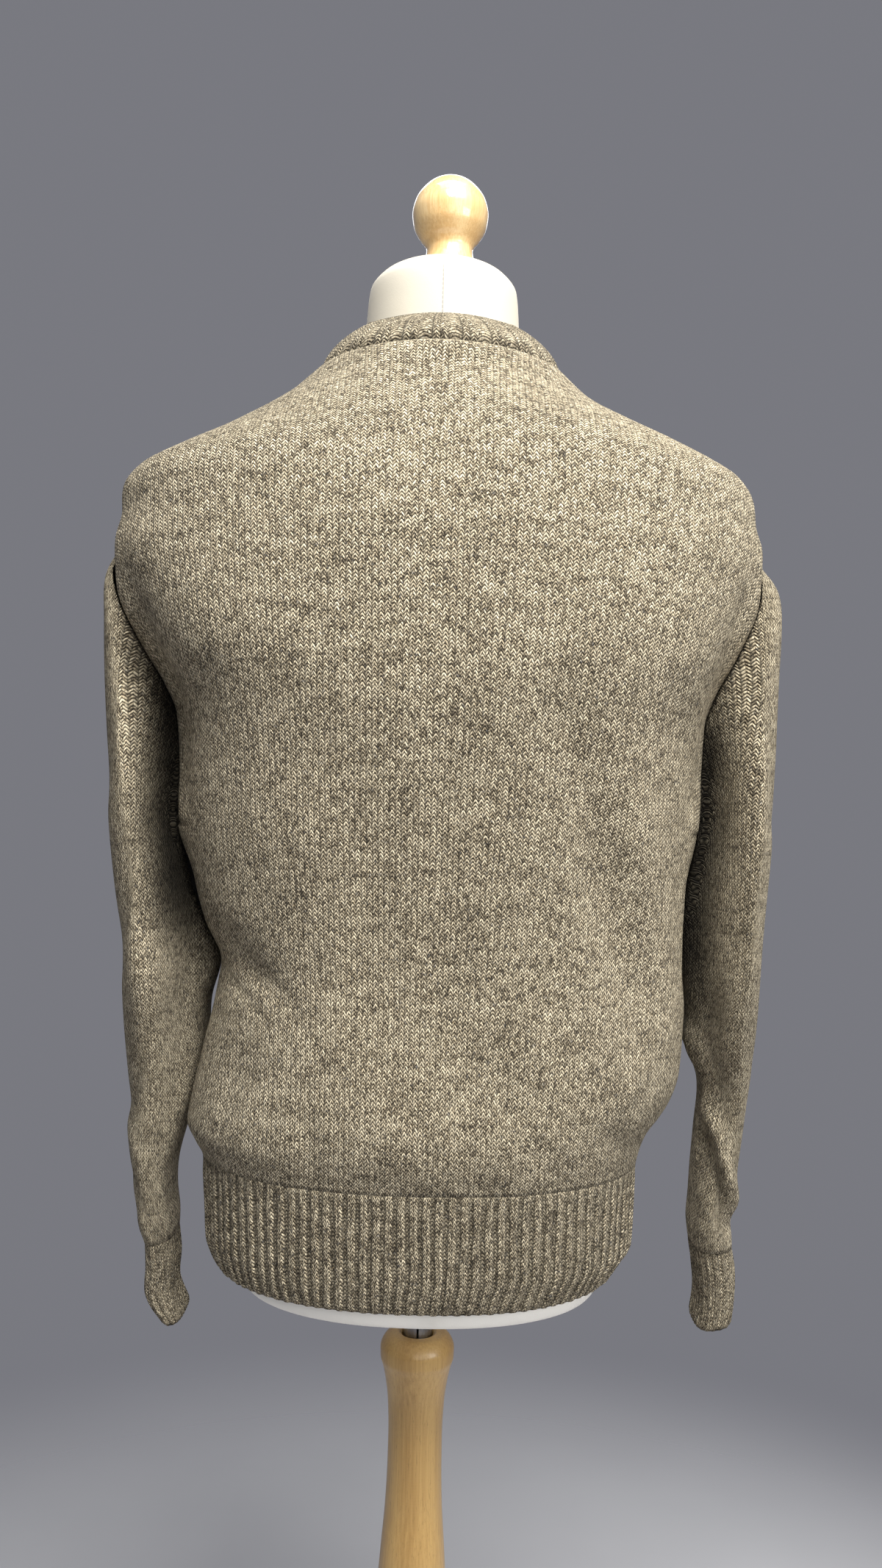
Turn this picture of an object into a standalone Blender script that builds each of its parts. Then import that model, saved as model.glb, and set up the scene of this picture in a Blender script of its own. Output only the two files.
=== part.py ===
"""Knitted crew-neck pullover on a limbless dress form.

Metres, +Z up. The wearer's left is +X and the garment's back faces +Y.
The garment is one connected net of points: closed rings round the torso, a
loop of points round each armhole that both panels and the sleeve share, and
rings down each sleeve. Every knitted piece takes its own faces from that net
and becomes a thin wall of its own.
"""
import math

import bmesh
import bpy
from mathutils import Vector

# ---------------------------------------------------------------- sizes
WALL = 0.0024            # thickness of the knit
SEAM_GAP = 0.00036       # clear gap between two pieces at a seam
HALF_COLUMNS = 9         # columns from the centre of a panel to its side
ARC_SHARE = 0.78         # part of them on the main arc, the rest turns inwards
ROUNDNESS = 2.25         # torso sections: 2 is an ellipse, more is squarer

RIB_TOP = 0.812          # hem rib meets the body
UNDERARM = 1.066
ARMHOLE_TOP = 1.284
ARMHOLE_STEPS = 8        # points on each half of an armhole
NECK_SEAM = 1.413        # neckline at the sides
NECK_RISE = 0.011        # how much higher it is at the back
NECK_DROP = 0.050        # how much lower it is at the front

NECK_Y = -0.0175         # centre of the neckband's upper edge
NECK_RX = 0.0648
NECK_RY = 0.0630
BAND_TOP = 1.461         # the neckband's upper edge beside the neck
BAND_BACK = 1.4540       # and at the back
BAND_FRONT = 1.392       # and at the front

FORM_BOTTOM = 0.7115
AXIS_X = 0.00490         # the form's axis, so that the whole is centred
NECK_CENTRE_Y = -0.022
DOME_TOP = 1.5140
FINIAL_X = -0.004

ROD_R = 0.0112
ROD_WALL = 0.0018
ROD_SLIT = 0.0016
BORE_R = 0.0118
BORE_BOTTOM = 0.600
POLE_TOP = 0.6690
BASE_R = 0.190
BASE_T = 0.028
GAP = 0.0003


def table(names, *rows):
    """Columns by name from rows of numbers."""
    names = names.split()
    return {n: [row[i] for row in rows] for i, n in enumerate(names)}


def read(tab, column, at, key=None):
    """Value of a column at a height, on a smooth curve that never overshoots."""
    xs = tab[key] if key else next(iter(tab.values()))
    ys = tab[column]
    n = len(xs)
    if at <= xs[0]:
        return ys[0]
    if at >= xs[-1]:
        return ys[-1]
    i = max(k for k in range(n - 1) if xs[k] <= at)
    h = [xs[k + 1] - xs[k] for k in range(n - 1)]
    d = [(ys[k + 1] - ys[k]) / h[k] for k in range(n - 1)]

    def slope(k):
        if k == 0:
            return d[0]
        if k == n - 1:
            return d[-1]
        if d[k - 1] * d[k] <= 0:
            return 0.0
        w1, w2 = 2 * h[k] + h[k - 1], h[k] + 2 * h[k - 1]
        return (w1 + w2) / (w1 / d[k - 1] + w2 / d[k])

    t = (at - xs[i]) / h[i]
    a, b = slope(i), slope(i + 1)
    return (ys[i] * (2 * t**3 - 3 * t**2 + 1) + h[i] * a * (t**3 - 2 * t**2 + t)
            + ys[i + 1] * (3 * t**2 - 2 * t**3) + h[i] * b * (t**3 - t**2))


# Torso of the sweater: half widths on the wearer's left and right, depths
# to the back and to the front.
BODY = table(
    "z      left   right  back   front",
    (0.727, 0.1565, 0.1482, 0.1085, 0.1040),
    (0.738, 0.1615, 0.1550, 0.1110, 0.1060),
    (0.750, 0.1655, 0.1625, 0.1125, 0.1075),
    (0.775, 0.1670, 0.1638, 0.1130, 0.1085),
    (0.800, 0.1690, 0.1645, 0.1130, 0.1095),
    (0.812, 0.1700, 0.1655, 0.1130, 0.1100),
    (0.824, 0.1760, 0.1680, 0.1165, 0.1140),
    (0.838, 0.1825, 0.1735, 0.1200, 0.1190),
    (0.850, 0.1806, 0.1820, 0.1205, 0.1205),
    (0.864, 0.1780, 0.1905, 0.1190, 0.1205),
    (0.882, 0.1740, 0.1970, 0.1160, 0.1185),
    (0.905, 0.1692, 0.1995, 0.1125, 0.1160),
    (0.932, 0.1638, 0.2010, 0.1090, 0.1140),
    (0.961, 0.1605, 0.1985, 0.1068, 0.1130),
    (0.990, 0.1738, 0.1980, 0.1072, 0.1135),
    (1.022, 0.1815, 0.1992, 0.1098, 0.1160),
    (1.066, 0.1878, 0.2036, 0.1145, 0.1205),
    (1.105, 0.1884, 0.2052, 0.1185, 0.1245),
    (1.140, 0.1896, 0.2062, 0.1220, 0.1270),
    (1.165, 0.1922, 0.2100, 0.1245, 0.1280),
    (1.196, 0.2100, 0.2205, 0.1262, 0.1275),
    (1.240, 0.2350, 0.2385, 0.1265, 0.1230),
    (1.284, 0.2560, 0.2550, 0.1245, 0.1165),
    (1.303, 0.2500, 0.2490, 0.1215, 0.1090),
    (1.323, 0.2455, 0.2445, 0.1178, 0.1015),
    (1.340, 0.2325, 0.2335, 0.1135, 0.0955),
    (1.352, 0.2095, 0.2150, 0.1100, 0.0922),
    (1.364, 0.1810, 0.1900, 0.1062, 0.0890),
    (1.376, 0.1570, 0.1585, 0.1017, 0.0862),
    (1.388, 0.1345, 0.1310, 0.0960, 0.0832),
    (1.400, 0.1150, 0.1125, 0.0892, 0.0800),
    (1.413, 0.0960, 0.0950, 0.0815, 0.0765),
    (1.424, 0.0835, 0.0830, 0.0745, 0.0740),
)
LOW_ROWS = (0.812, 0.824, 0.838, 0.856, 0.882, 0.918, 0.961, 0.990, 1.022)
RIB_ROWS = (0.727, 0.738, 0.760, 0.786)
RIDGE_ROWS = (1.303, 1.323, 1.340, 1.352, 1.364, 1.376, 1.388, 1.400, NECK_SEAM)

# Armhole seam: distance from the middle on each side, and how far the panel
# turns inwards in front of it (0 none, 1 a full hollow).
ARMHOLE = table(
    "z       left    right   hollow",
    (1.0660, 0.1960, 0.2105, 0.0),
    (1.0870, 0.2048, 0.2125, 0.5),
    (1.1090, 0.2130, 0.2140, 0.9),
    (1.1500, 0.2204, 0.2165, 1.0),
    (1.1750, 0.2262, 0.2242, 1.0),
    (1.2000, 0.2325, 0.2336, 0.8),
    (1.2440, 0.2400, 0.2420, 0.4),
    (1.2840, 0.2560, 0.2550, 0.0),
)
ARMHOLE_HALF_Y = 0.046
SIDE_Y = -0.004          # side seams and the shoulder ridge

# Sleeves below the armhole: the outer and inner edge of each ring, its half
# depth front to back, and the middle of that depth.
SLEEVE_COLUMNS = "row outer_x outer_z inner_x inner_z half_y mid_y"
SLEEVE_LEFT = table(
    SLEEVE_COLUMNS,
    (1, 0.2600, 1.238, 0.2015, 1.022, 0.060, -0.004),
    (2, 0.2604, 1.190, 0.1985, 0.998, 0.070, -0.006),
    (3, 0.2562, 1.138, 0.1925, 0.980, 0.077, -0.008),
    (4, 0.2502, 1.082, 0.1850, 0.965, 0.082, -0.009),
    (5, 0.2442, 1.025, 0.1778, 0.948, 0.083, -0.010),
    (6, 0.2385, 0.968, 0.1745, 0.925, 0.081, -0.010),
    (7, 0.2348, 0.910, 0.1765, 0.893, 0.078, -0.010),
    (8, 0.2312, 0.864, 0.1845, 0.860, 0.074, -0.010),
    (9, 0.2285, 0.820, 0.1945, 0.822, 0.068, -0.010),
    (10, 0.2238, 0.785, 0.2012, 0.787, 0.062, -0.010),
    (11, 0.2165, 0.757, 0.2005, 0.760, 0.056, -0.010),
    (12, 0.2138, 0.738, 0.1985, 0.740, 0.050, -0.010),
)
CUFF_LEFT = table(
    SLEEVE_COLUMNS,
    (1, 0.2130, 0.718, 0.1955, 0.721, 0.046, -0.010),
    (2, 0.2128, 0.694, 0.1960, 0.698, 0.044, -0.011),
    (3, 0.2065, 0.672, 0.1895, 0.676, 0.042, -0.012),
)
SLEEVE_RIGHT = table(
    SLEEVE_COLUMNS,
    (1, 0.2680, 1.250, 0.2130, 1.030, 0.060, -0.004),
    (2, 0.2702, 1.195, 0.2128, 1.002, 0.070, -0.006),
    (3, 0.2695, 1.145, 0.2110, 0.984, 0.077, -0.008),
    (4, 0.2662, 1.088, 0.2090, 0.966, 0.082, -0.009),
    (5, 0.2622, 1.035, 0.2080, 0.948, 0.083, -0.010),
    (6, 0.2580, 0.975, 0.2085, 0.925, 0.081, -0.010),
    (7, 0.2552, 0.915, 0.2128, 0.900, 0.078, -0.010),
    (8, 0.2520, 0.871, 0.2262, 0.868, 0.073, -0.010),
    (9, 0.2482, 0.826, 0.2252, 0.826, 0.067, -0.010),
    (10, 0.2440, 0.792, 0.2218, 0.791, 0.061, -0.010),
    (11, 0.2388, 0.763, 0.2196, 0.762, 0.055, -0.010),
    (12, 0.2425, 0.745, 0.2198, 0.742, 0.050, -0.010),
)
CUFF_RIGHT = table(
    SLEEVE_COLUMNS,
    (1, 0.2462, 0.724, 0.2222, 0.722, 0.046, -0.010),
    (2, 0.2462, 0.702, 0.2242, 0.700, 0.044, -0.011),
    (3, 0.2448, 0.683, 0.2215, 0.678, 0.042, -0.012),
)

# Broad folds of the body: from one point to the other across the panel,
# half width, and depth (a ridge is negative). side is 1 back, -1 front.
FOLDS = table(
    "side  x1      z1     x2      z2     width  depth",
    (1, -0.100, 1.130, -0.145, 0.965, 0.022, 0.0085),
    (1, -0.140, 1.110, -0.182, 0.935, 0.016, -0.0035),
    (1, -0.020, 0.925, -0.030, 0.840, 0.016, 0.0040),
    (1, 0.046, 1.080, 0.040, 0.965, 0.020, 0.0030),
    (1, 0.150, 0.980, 0.098, 0.938, 0.011, 0.0050),
    (1, -0.042, 0.905, -0.088, 0.835, 0.011, 0.0035),
    (-1, 0.090, 1.120, 0.135, 0.950, 0.022, 0.0080),
    (-1, 0.020, 0.940, 0.028, 0.845, 0.016, 0.0040),
    (-1, -0.060, 1.090, -0.052, 0.960, 0.020, 0.0035),
    (-1, 0.145, 0.985, 0.100, 0.935, 0.011, 0.0045),
)

# Half widths and depths of the dress form under the sweater, round its axis.
FORM = table(
    "z        half    back    front",
    (0.7115, 0.1270, 0.0900, 0.0850),
    (0.7140, 0.1360, 0.0985, 0.0930),
    (0.7220, 0.1400, 0.1020, 0.0960),
    (0.7500, 0.1445, 0.1030, 0.0975),
    (0.8100, 0.1480, 0.1030, 0.0985),
    (0.8600, 0.1480, 0.0990, 0.0980),
    (0.9100, 0.1430, 0.0930, 0.0965),
    (0.9600, 0.1400, 0.0900, 0.0960),
    (1.0100, 0.1450, 0.0920, 0.0980),
    (1.0600, 0.1570, 0.0980, 0.1035),
    (1.1100, 0.1680, 0.1055, 0.1110),
    (1.1600, 0.1745, 0.1120, 0.1145),
    (1.2000, 0.1820, 0.1150, 0.1130),
    (1.2350, 0.1970, 0.1145, 0.1075),
    (1.2700, 0.2120, 0.1120, 0.1010),
    (1.2980, 0.2180, 0.1090, 0.0940),
    (1.3190, 0.2140, 0.1055, 0.0875),
    (1.3340, 0.2000, 0.1020, 0.0835),
    (1.3470, 0.1790, 0.0980, 0.0805),
    (1.3610, 0.1545, 0.0925, 0.0775),
    (1.3750, 0.1285, 0.0865, 0.0750),
    (1.3870, 0.1070, 0.0795, 0.0735),
    (1.3990, 0.0895, 0.0695, 0.0725),
    (1.4110, 0.0765, 0.0575, 0.0720),
    (1.4280, 0.0660, 0.0460, 0.0745),
    (1.4450, 0.0622, 0.0405, 0.0770),
    (1.4700, 0.0610, 0.0385, 0.0790),
    (1.4940, 0.0588, 0.0355, 0.0790),
    (1.5040, 0.0515, 0.0285, 0.0720),
    (1.5105, 0.0410, 0.0180, 0.0615),
    (1.5140, 0.0290, 0.0070, 0.0505),
)

# Turned profiles, radius by height, listed from the top down.
FINIAL = table(
    "z        r",
    (1.5890, 0.0000), (1.5884, 0.0060), (1.5850, 0.0145), (1.5780, 0.0228),
    (1.5690, 0.0285), (1.5590, 0.0306), (1.5490, 0.0292), (1.5400, 0.0245),
    (1.5340, 0.0200), (1.5300, 0.0186), (1.5260, 0.0190), (1.5210, 0.0206),
    (1.5170, 0.0222), (1.5150, 0.0226), (1.5143, 0.0220),
)
POLE = table(
    "z        r",
    (0.6690, 0.0150), (0.6684, 0.0205), (0.6640, 0.0262), (0.6570, 0.0290),
    (0.6500, 0.0288), (0.6430, 0.0268), (0.6330, 0.0246), (0.6150, 0.0222),
    (0.5900, 0.0212), (0.5650, 0.0214), (0.5350, 0.0224), (0.5000, 0.0250),
    (0.4500, 0.0282), (0.3900, 0.0296), (0.3200, 0.0288), (0.2300, 0.0262),
    (0.1400, 0.0250), (0.0900, 0.0268), (0.0560, 0.0330), (0.0360, 0.0440),
)

# ---------------------------------------------------------------- start
for old in list(bpy.data.objects):
    bpy.data.objects.remove(old, do_unlink=True)

parts = bpy.data.collections.new("sweater_on_dress_form")
cutters = bpy.data.collections.new("cutters")
bpy.context.scene.collection.children.link(parts)
bpy.context.scene.collection.children.link(cutters)


def material(name, colour, rough, metal=0.0):
    mat = bpy.data.materials.new(name)
    mat.use_nodes = True
    node = mat.node_tree.nodes["Principled BSDF"]
    node.inputs["Base Color"].default_value = (*colour, 1.0)
    node.inputs["Roughness"].default_value = rough
    node.inputs["Metallic"].default_value = metal
    return mat


axis = bpy.data.objects.new("axis", None)
axis.location = (AXIS_X, 0.0, 0.0)
parts.objects.link(axis)


def place(thing, home=None):
    """Hang a piece on the axis of the form."""
    thing.parent = axis
    (home or parts).objects.link(thing)


def knit(name):
    return material(name, (0.36, 0.31, 0.22), 0.95)


# ---------------------------------------------------------------- garment net
points = []
pieces = {}


def add(point):
    points.append(Vector(point))
    return len(points) - 1


def fold(side, x, z):
    """Depth of the folds at a point of the back (1) or the front (-1)."""
    total = 0.0
    for i, s in enumerate(FOLDS["side"]):
        if s != side:
            continue
        ax, az = FOLDS["x1"][i], FOLDS["z1"][i]
        bx, bz = FOLDS["x2"][i] - ax, FOLDS["z2"][i] - az
        length = math.hypot(bx, bz)
        t = ((x - ax) * bx + (z - az) * bz) / length**2
        across = abs((x - ax) * bz - (z - az) * bx) / length / FOLDS["width"][i]
        beyond = max(0.0, -t, t - 1.0) * length / (2.2 * FOLDS["width"][i])
        taper = 0.45 + 0.55 * math.sin(math.pi * min(1.0, max(0.0, t)))
        total += FOLDS["depth"][i] * taper * math.exp(-across**2 - beyond**2)
    return total


def arc(width, depth, angle):
    """Point of a rounded section, the angle running from the centre line."""
    s, c = math.sin(angle), math.cos(angle)
    return (width * abs(s) ** (2 / ROUNDNESS) * (1 if s >= 0 else -1),
            depth * abs(c) ** (2 / ROUNDNESS))


def body_point(side, u, z, seam=None):
    """Point of the torso: side 1 back or -1 front, u -1 (right) to 1 (left)."""
    name = "left" if u >= 0 else "right"
    wide = read(BODY, name, z)
    deep = read(BODY, "back" if side > 0 else "front", z)
    a = abs(u)
    leave = 1.16
    if a <= ARC_SHARE:
        x, y = arc(wide, deep, leave * a / ARC_SHARE)
    else:
        t = (a - ARC_SHARE) / (1 - ARC_SHARE)
        p0 = Vector(arc(wide, deep, leave))
        pm = Vector(arc(wide, deep, leave - 0.02))
        go = (p0 - pm).normalized()
        if seam:
            end, hollow = Vector(seam[:2]), seam[2]
        else:
            end, hollow = Vector((wide, side * SIDE_Y)), 0.0
        reach = (end - p0).length
        arrive = Vector((0, -1)).lerp(Vector((0.92, 0.38)), hollow).normalized()
        p1 = p0 + go * reach * 0.45
        p2 = end - arrive * reach * (0.42 + 0.12 * hollow)
        x, y = (p0 * (1 - t)**3 + p1 * 3 * t * (1 - t)**2
                + p2 * 3 * t**2 * (1 - t) + end * t**3)
    x = x if u >= 0 else -x
    sink = fold(side, x, z) * min(1.0, max(0.0, (1.0 - a) / 0.25))
    return Vector((x * (1 - sink * 1.2 / max(wide, 0.05) * a), side * (y - sink), z))


def neck_height(side, u):
    if side > 0:
        return NECK_SEAM + NECK_RISE * (1 - abs(u)**1.3)
    return NECK_SEAM - NECK_DROP * (1 - abs(u)**1.15)**1.5


columns = [k / HALF_COLUMNS for k in range(-HALF_COLUMNS, HALF_COLUMNS + 1)]
last = len(columns) - 1
rows = {1: [], -1: []}       # lists of point numbers, from the rib's foot up


def closed_row(zs):
    """A ring round the body: both panels share its two side points."""
    back = [add(body_point(1, u, zs(1, u))) for u in columns]
    front = [back[0]] + [add(body_point(-1, u, zs(-1, u))) for u in columns[1:-1]]
    front.append(back[-1])
    rows[1].append(back)
    rows[-1].append(front)


for z in RIB_ROWS:
    closed_row(lambda side, u, z=z: z)
for z in LOW_ROWS:
    closed_row(lambda side, u, z=z: z)

middle = (ARMHOLE_TOP + UNDERARM) / 2
half = (ARMHOLE_TOP - UNDERARM) / 2
loops = {"left": [None] * (2 * ARMHOLE_STEPS), "right": [None] * (2 * ARMHOLE_STEPS)}
for k in range(ARMHOLE_STEPS + 1):
    turn = math.pi * k / ARMHOLE_STEPS
    z = middle - half * math.cos(turn)
    shared = {}
    for side in (1, -1):
        row = []
        for u in columns:
            if abs(u) == 1.0:
                name = "left" if u > 0 else "right"
                if k in (0, ARMHOLE_STEPS) and side < 0:
                    row.append(shared[name])
                    continue
            name = "left" if u > 0 else "right"
            out = ARMHOLE_HALF_Y * math.sin(turn)
            seam = (read(ARMHOLE, name, z), side * SIDE_Y + out,
                    read(ARMHOLE, "hollow", z))
            point = add(body_point(side, u, z, seam))
            row.append(point)
            if abs(u) == 1.0:
                shared[name] = point
                where = k if side > 0 else -k
                loops[name][where] = point
        rows[side].append(row)
for name in loops:
    loops[name][ARMHOLE_STEPS] = loops[name][ARMHOLE_STEPS] or loops[name][-ARMHOLE_STEPS]

for z in RIDGE_ROWS:
    share = (z - ARMHOLE_TOP) / (NECK_SEAM - ARMHOLE_TOP)

    def height(side, u, share=share):
        return ARMHOLE_TOP + share * (neck_height(side, u) - ARMHOLE_TOP)

    closed_row(height)


def net(name, grid, flip=False):
    faces = pieces.setdefault(name, [])
    for low, high in zip(grid, grid[1:]):
        for i in range(len(low) - 1):
            quad = [low[i], low[i + 1], high[i + 1], high[i]]
            if len(set(quad)) < 3:
                continue
            if flip:
                quad.reverse()
            faces.append(list(dict.fromkeys(quad)))


ribs = len(RIB_ROWS)
net("hem_rib_back", rows[1][:ribs + 1], flip=True)
net("hem_rib_front", rows[-1][:ribs + 1])
net("body_back", rows[1][ribs:], flip=True)
net("body_front", rows[-1][ribs:])

# neckband: from the neckline in to a smaller ring that stands round the neck
seam_ring = rows[1][-1] + rows[-1][-1][1:-1][::-1]
band = [seam_ring]
for lift in (0.36, 0.72, 1.0):
    ring = []
    for number in seam_ring:
        p = points[number]
        turn = math.atan2(p.x / 0.0955, (p.y - NECK_Y) / 0.085)
        c = math.cos(turn)
        if c > 0:
            top_z = BAND_BACK + (BAND_TOP - BAND_BACK) * abs(math.sin(turn))**6
        else:
            top_z = BAND_TOP - (BAND_TOP - BAND_FRONT) * abs(c)**1.7
        top = Vector((NECK_RX * math.sin(turn), NECK_Y + NECK_RY * c, top_z))
        if number == seam_ring[0] or number == seam_ring[last]:
            top.y = NECK_Y
        mid = p.lerp(top, lift)
        belly = 0.0028 * math.sin(math.pi * lift)
        out = Vector((math.sin(turn), c, 0.6)).normalized()
        ring.append(add(mid + out * belly))
    band.append(ring)
net("neckband", [r + [r[0]] for r in band], flip=True)


def sleeve_ring(tab, i, sign, steps):
    ox, oz = tab["outer_x"][i], tab["outer_z"][i]
    ix, iz = tab["inner_x"][i], tab["inner_z"][i]
    ring = []
    for k in range(2 * steps):
        turn = math.pi * k / steps
        c, s = -math.cos(turn), math.sin(turn)
        c = abs(c) ** 0.9 * (1 if c > 0 else -1)
        s = abs(s) ** 0.9 * (1 if s > 0 else -1)
        x = (ox + ix) / 2 + (ox - ix) / 2 * c
        z = (oz + iz) / 2 + (oz - iz) / 2 * c
        y = tab["mid_y"][i] + tab["half_y"][i] * s
        ring.append(add((sign * x, y, z)))
    return ring


for name, sign, tab, cuff in (("left", 1, SLEEVE_LEFT, CUFF_LEFT),
                              ("right", -1, SLEEVE_RIGHT, CUFF_RIGHT)):
    rings = [loops[name]]
    for i in range(len(tab["row"])):
        rings.append(sleeve_ring(tab, i, sign, ARMHOLE_STEPS))
    ends = [rings[-1]]
    for i in range(len(cuff["row"])):
        ends.append(sleeve_ring(cuff, i, sign, ARMHOLE_STEPS))
    net("sleeve_" + name, [r + [r[0]] for r in rings], flip=sign < 0)
    net("cuff_" + name, [r + [r[0]] for r in ends], flip=sign < 0)

# ---------------------------------------------------------------- walls
def normals_of(faces):
    sums = {}
    for f in faces:
        corner = [points[i] for i in f]
        if len(f) == 4:
            n = (corner[2] - corner[0]).cross(corner[3] - corner[1])
        else:
            n = (corner[1] - corner[0]).cross(corner[2] - corner[0])
        for i in f:
            sums[i] = sums.get(i, Vector()) + n
    return sums


own = {name: normals_of(faces) for name, faces in pieces.items()}
normals = {}
for sums in own.values():
    for i, n in sums.items():
        normals[i] = normals.get(i, Vector()) + n.normalized()
normals = {i: n.normalized() for i, n in normals.items()}


def lean(faces):
    """Unit direction from each point to the middle of a piece's faces on it."""
    sums = {}
    for f in faces:
        centre = sum((points[i] for i in f), Vector()) / len(f)
        for i in f:
            sums[i] = sums.get(i, Vector()) + (centre - points[i]).normalized()
    return {i: v.normalized() for i, v in sums.items()}


leans = {name: lean(faces) for name, faces in pieces.items()}


def wall(name, faces):
    """A closed wall of a piece: outer skin, inner skin and the edge between.

    Where pieces share a point each of them draws back from the others by half
    of the seam's gap, and by more in a corner. In a valley, as under the arm,
    each wall keeps to its own side of the seam.
    """
    used = sorted({i for f in faces for i in f})
    edges = {(a, b) for f in faces for a, b in zip(f, f[1:] + f[:1])}
    rim = sorted((a, b) for a, b in edges if (b, a) not in edges)
    mesh = bmesh.new()
    outer, inner = {}, {}
    for i in used:
        p, through = points[i].copy(), normals[i]
        others = [leans[n][i] for n in pieces if n != name and i in leans[n]]
        if others:
            away = leans[name][i] - sum(others, Vector()) / len(others)
            away -= through * away.dot(through)
            p += away.normalized() * SEAM_GAP / 2 * (1.0 if len(others) == 1 else 1.6)
            mine = own[name][i].normalized()
            valley = min(1.0, max(0.0, 1.6 * leans[name][i].dot(through)))
            p -= (mine - through * mine.dot(through)) * SEAM_GAP * (0.5 + 1.7 * valley)
            through = through.lerp(mine, valley).normalized()
        outer[i] = mesh.verts.new(p)
        inner[i] = mesh.verts.new(p - through * WALL)
    for f in faces:
        mesh.faces.new([outer[i] for i in f])
        mesh.faces.new([inner[i] for i in reversed(f)])
    for a, b in rim:     # both pieces at a seam split its edge the same way
        if a < b:
            mesh.faces.new([outer[b], outer[a], inner[b]])
            mesh.faces.new([outer[a], inner[a], inner[b]])
        else:
            mesh.faces.new([outer[b], outer[a], inner[a]])
            mesh.faces.new([outer[b], inner[a], inner[b]])
    data = bpy.data.meshes.new(name)
    mesh.to_mesh(data)
    mesh.free()
    data.shade_smooth()
    data.set_sharp_from_angle(angle=math.radians(50))
    thing = bpy.data.objects.new(name, data)
    data.materials.append(knit(name + "_knit"))
    place(thing)
    return thing


for piece_name, piece_faces in pieces.items():
    wall(piece_name, piece_faces)

# ---------------------------------------------------------------- dress form
FORM_SIDES = 28
mesh = bmesh.new()
sections = []
for z, wide, back, front in zip(*(FORM[c] for c in ("z", "half", "back", "front"))):
    ring = []
    power = 2 / (2.25 if z < 1.39 else 2.0)
    for k in range(FORM_SIDES):
        a = 2 * math.pi * k / FORM_SIDES
        s, c = math.sin(a), math.cos(a)
        x = wide * abs(s)**power * (1 if s >= 0 else -1)
        y = (back if c >= 0 else front) * abs(c)**power * (1 if c >= 0 else -1)
        if z > 1.40:
            mid = (back - front) / 2
            y = mid + (back + front) / 2 * c
        ring.append(mesh.verts.new((x, y, z)))
    sections.append(ring)
for low, high in zip(sections, sections[1:]):
    for i in range(FORM_SIDES):
        j = (i + 1) % FORM_SIDES
        mesh.faces.new([low[j], low[i], high[i], high[j]])
mesh.faces.new(sections[0])
mesh.faces.new(list(reversed(sections[-1])))
bmesh.ops.recalc_face_normals(mesh, faces=mesh.faces)
data = bpy.data.meshes.new("form_torso")
mesh.to_mesh(data)
mesh.free()
data.shade_smooth()
data.set_sharp_from_angle(angle=math.radians(50))
data.materials.append(material("form_cloth", (0.90, 0.86, 0.76), 0.8))
place(bpy.data.objects.new("form_torso", data))


def turned(name, profile, mat, spot=(0, 0, 0), sides=24):
    """A solid of revolution from a profile that runs down its outer side."""
    data = bpy.data.meshes.new(name)
    data.from_pydata([(r, 0, z) for r, z in profile], [(i, i + 1) for i in range(len(profile) - 1)], [])
    thing = bpy.data.objects.new(name, data)
    thing.location = spot
    data.materials.append(mat)
    place(thing)
    screw = thing.modifiers.new("turn", "SCREW")
    screw.axis = "Z"
    screw.angle = 2 * math.pi
    screw.steps = sides
    screw.render_steps = sides
    screw.use_merge_vertices = True
    screw.merge_threshold = 0.0001
    screw.use_smooth_shade = True
    return thing


wood = material("beech_finial", (0.62, 0.40, 0.16), 0.3)
outline = [(r, z) for r, z in zip(FINIAL["r"], FINIAL["z"])] + [(0.0, FINIAL["z"][-1])]
turned("neck_finial", outline, wood, (FINIAL_X, NECK_CENTRE_Y, 0), 24)

outline = [(0.0, BORE_BOTTOM), (BORE_R, BORE_BOTTOM), (BORE_R, POLE_TOP - 0.004), (0.0136, POLE_TOP - 0.0008)]
outline += [(r, z) for r, z in zip(POLE["r"], POLE["z"])]
outline += [(0.0470, BASE_T + GAP), (0.0, BASE_T + GAP)]
turned("pole", outline, material("beech_pole", (0.52, 0.33, 0.13), 0.35), sides=24)

outline = [(0.0, BASE_T), (0.060, BASE_T), (BASE_R - 0.010, BASE_T - 0.004),
           (BASE_R - 0.003, BASE_T - 0.009), (BASE_R, BASE_T - 0.015),
           (BASE_R, 0.003), (BASE_R - 0.003, 0.0), (0.0, 0.0)]
turned("base", outline, material("beech_base", (0.50, 0.32, 0.13), 0.4), sides=40)

# steel tube between the torso and the pole's bore, with a slit on its back
rod_low, rod_high = BORE_BOTTOM + GAP, FORM_BOTTOM - GAP
outline = [(ROD_R - ROD_WALL, rod_high), (ROD_R, rod_high), (ROD_R, rod_low), (ROD_R - ROD_WALL, rod_low),
           (ROD_R - ROD_WALL, rod_high)]
rod = turned("steel_rod", outline, material("zinc_steel", (0.45, 0.46, 0.48), 0.35, 1.0), sides=24)
bpy.ops.mesh.primitive_cube_add(size=1.0, location=(0.0, ROD_R, (rod_low + rod_high) / 2))
slit = bpy.context.object
slit.name = "slit_cutter"
slit.scale = (ROD_SLIT, 2.5 * ROD_WALL, rod_high - rod_low - 0.030)
bpy.ops.object.transform_apply(location=False, rotation=False, scale=True)
for home in list(slit.users_collection):
    home.objects.unlink(slit)
place(slit, cutters)
slit.hide_render = True
slit.display_type = "WIRE"
cut = rod.modifiers.new("slit", "BOOLEAN")
cut.operation = "DIFFERENCE"
cut.solver = "EXACT"
cut.object = slit
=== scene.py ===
"""Looks of a knitted crew-neck pullover on a limbless dress form.

Metres, +Z up, in the row frame. The wearer's left is +X and the garment's back
faces +Y. The garment is drawn again from its tables at a finer step than the
solids: one smooth surface for each piece, with folds and ribs, and a knit that
is worked out in the material from each piece's own flat coordinates in metres.
"""
import math

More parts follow.
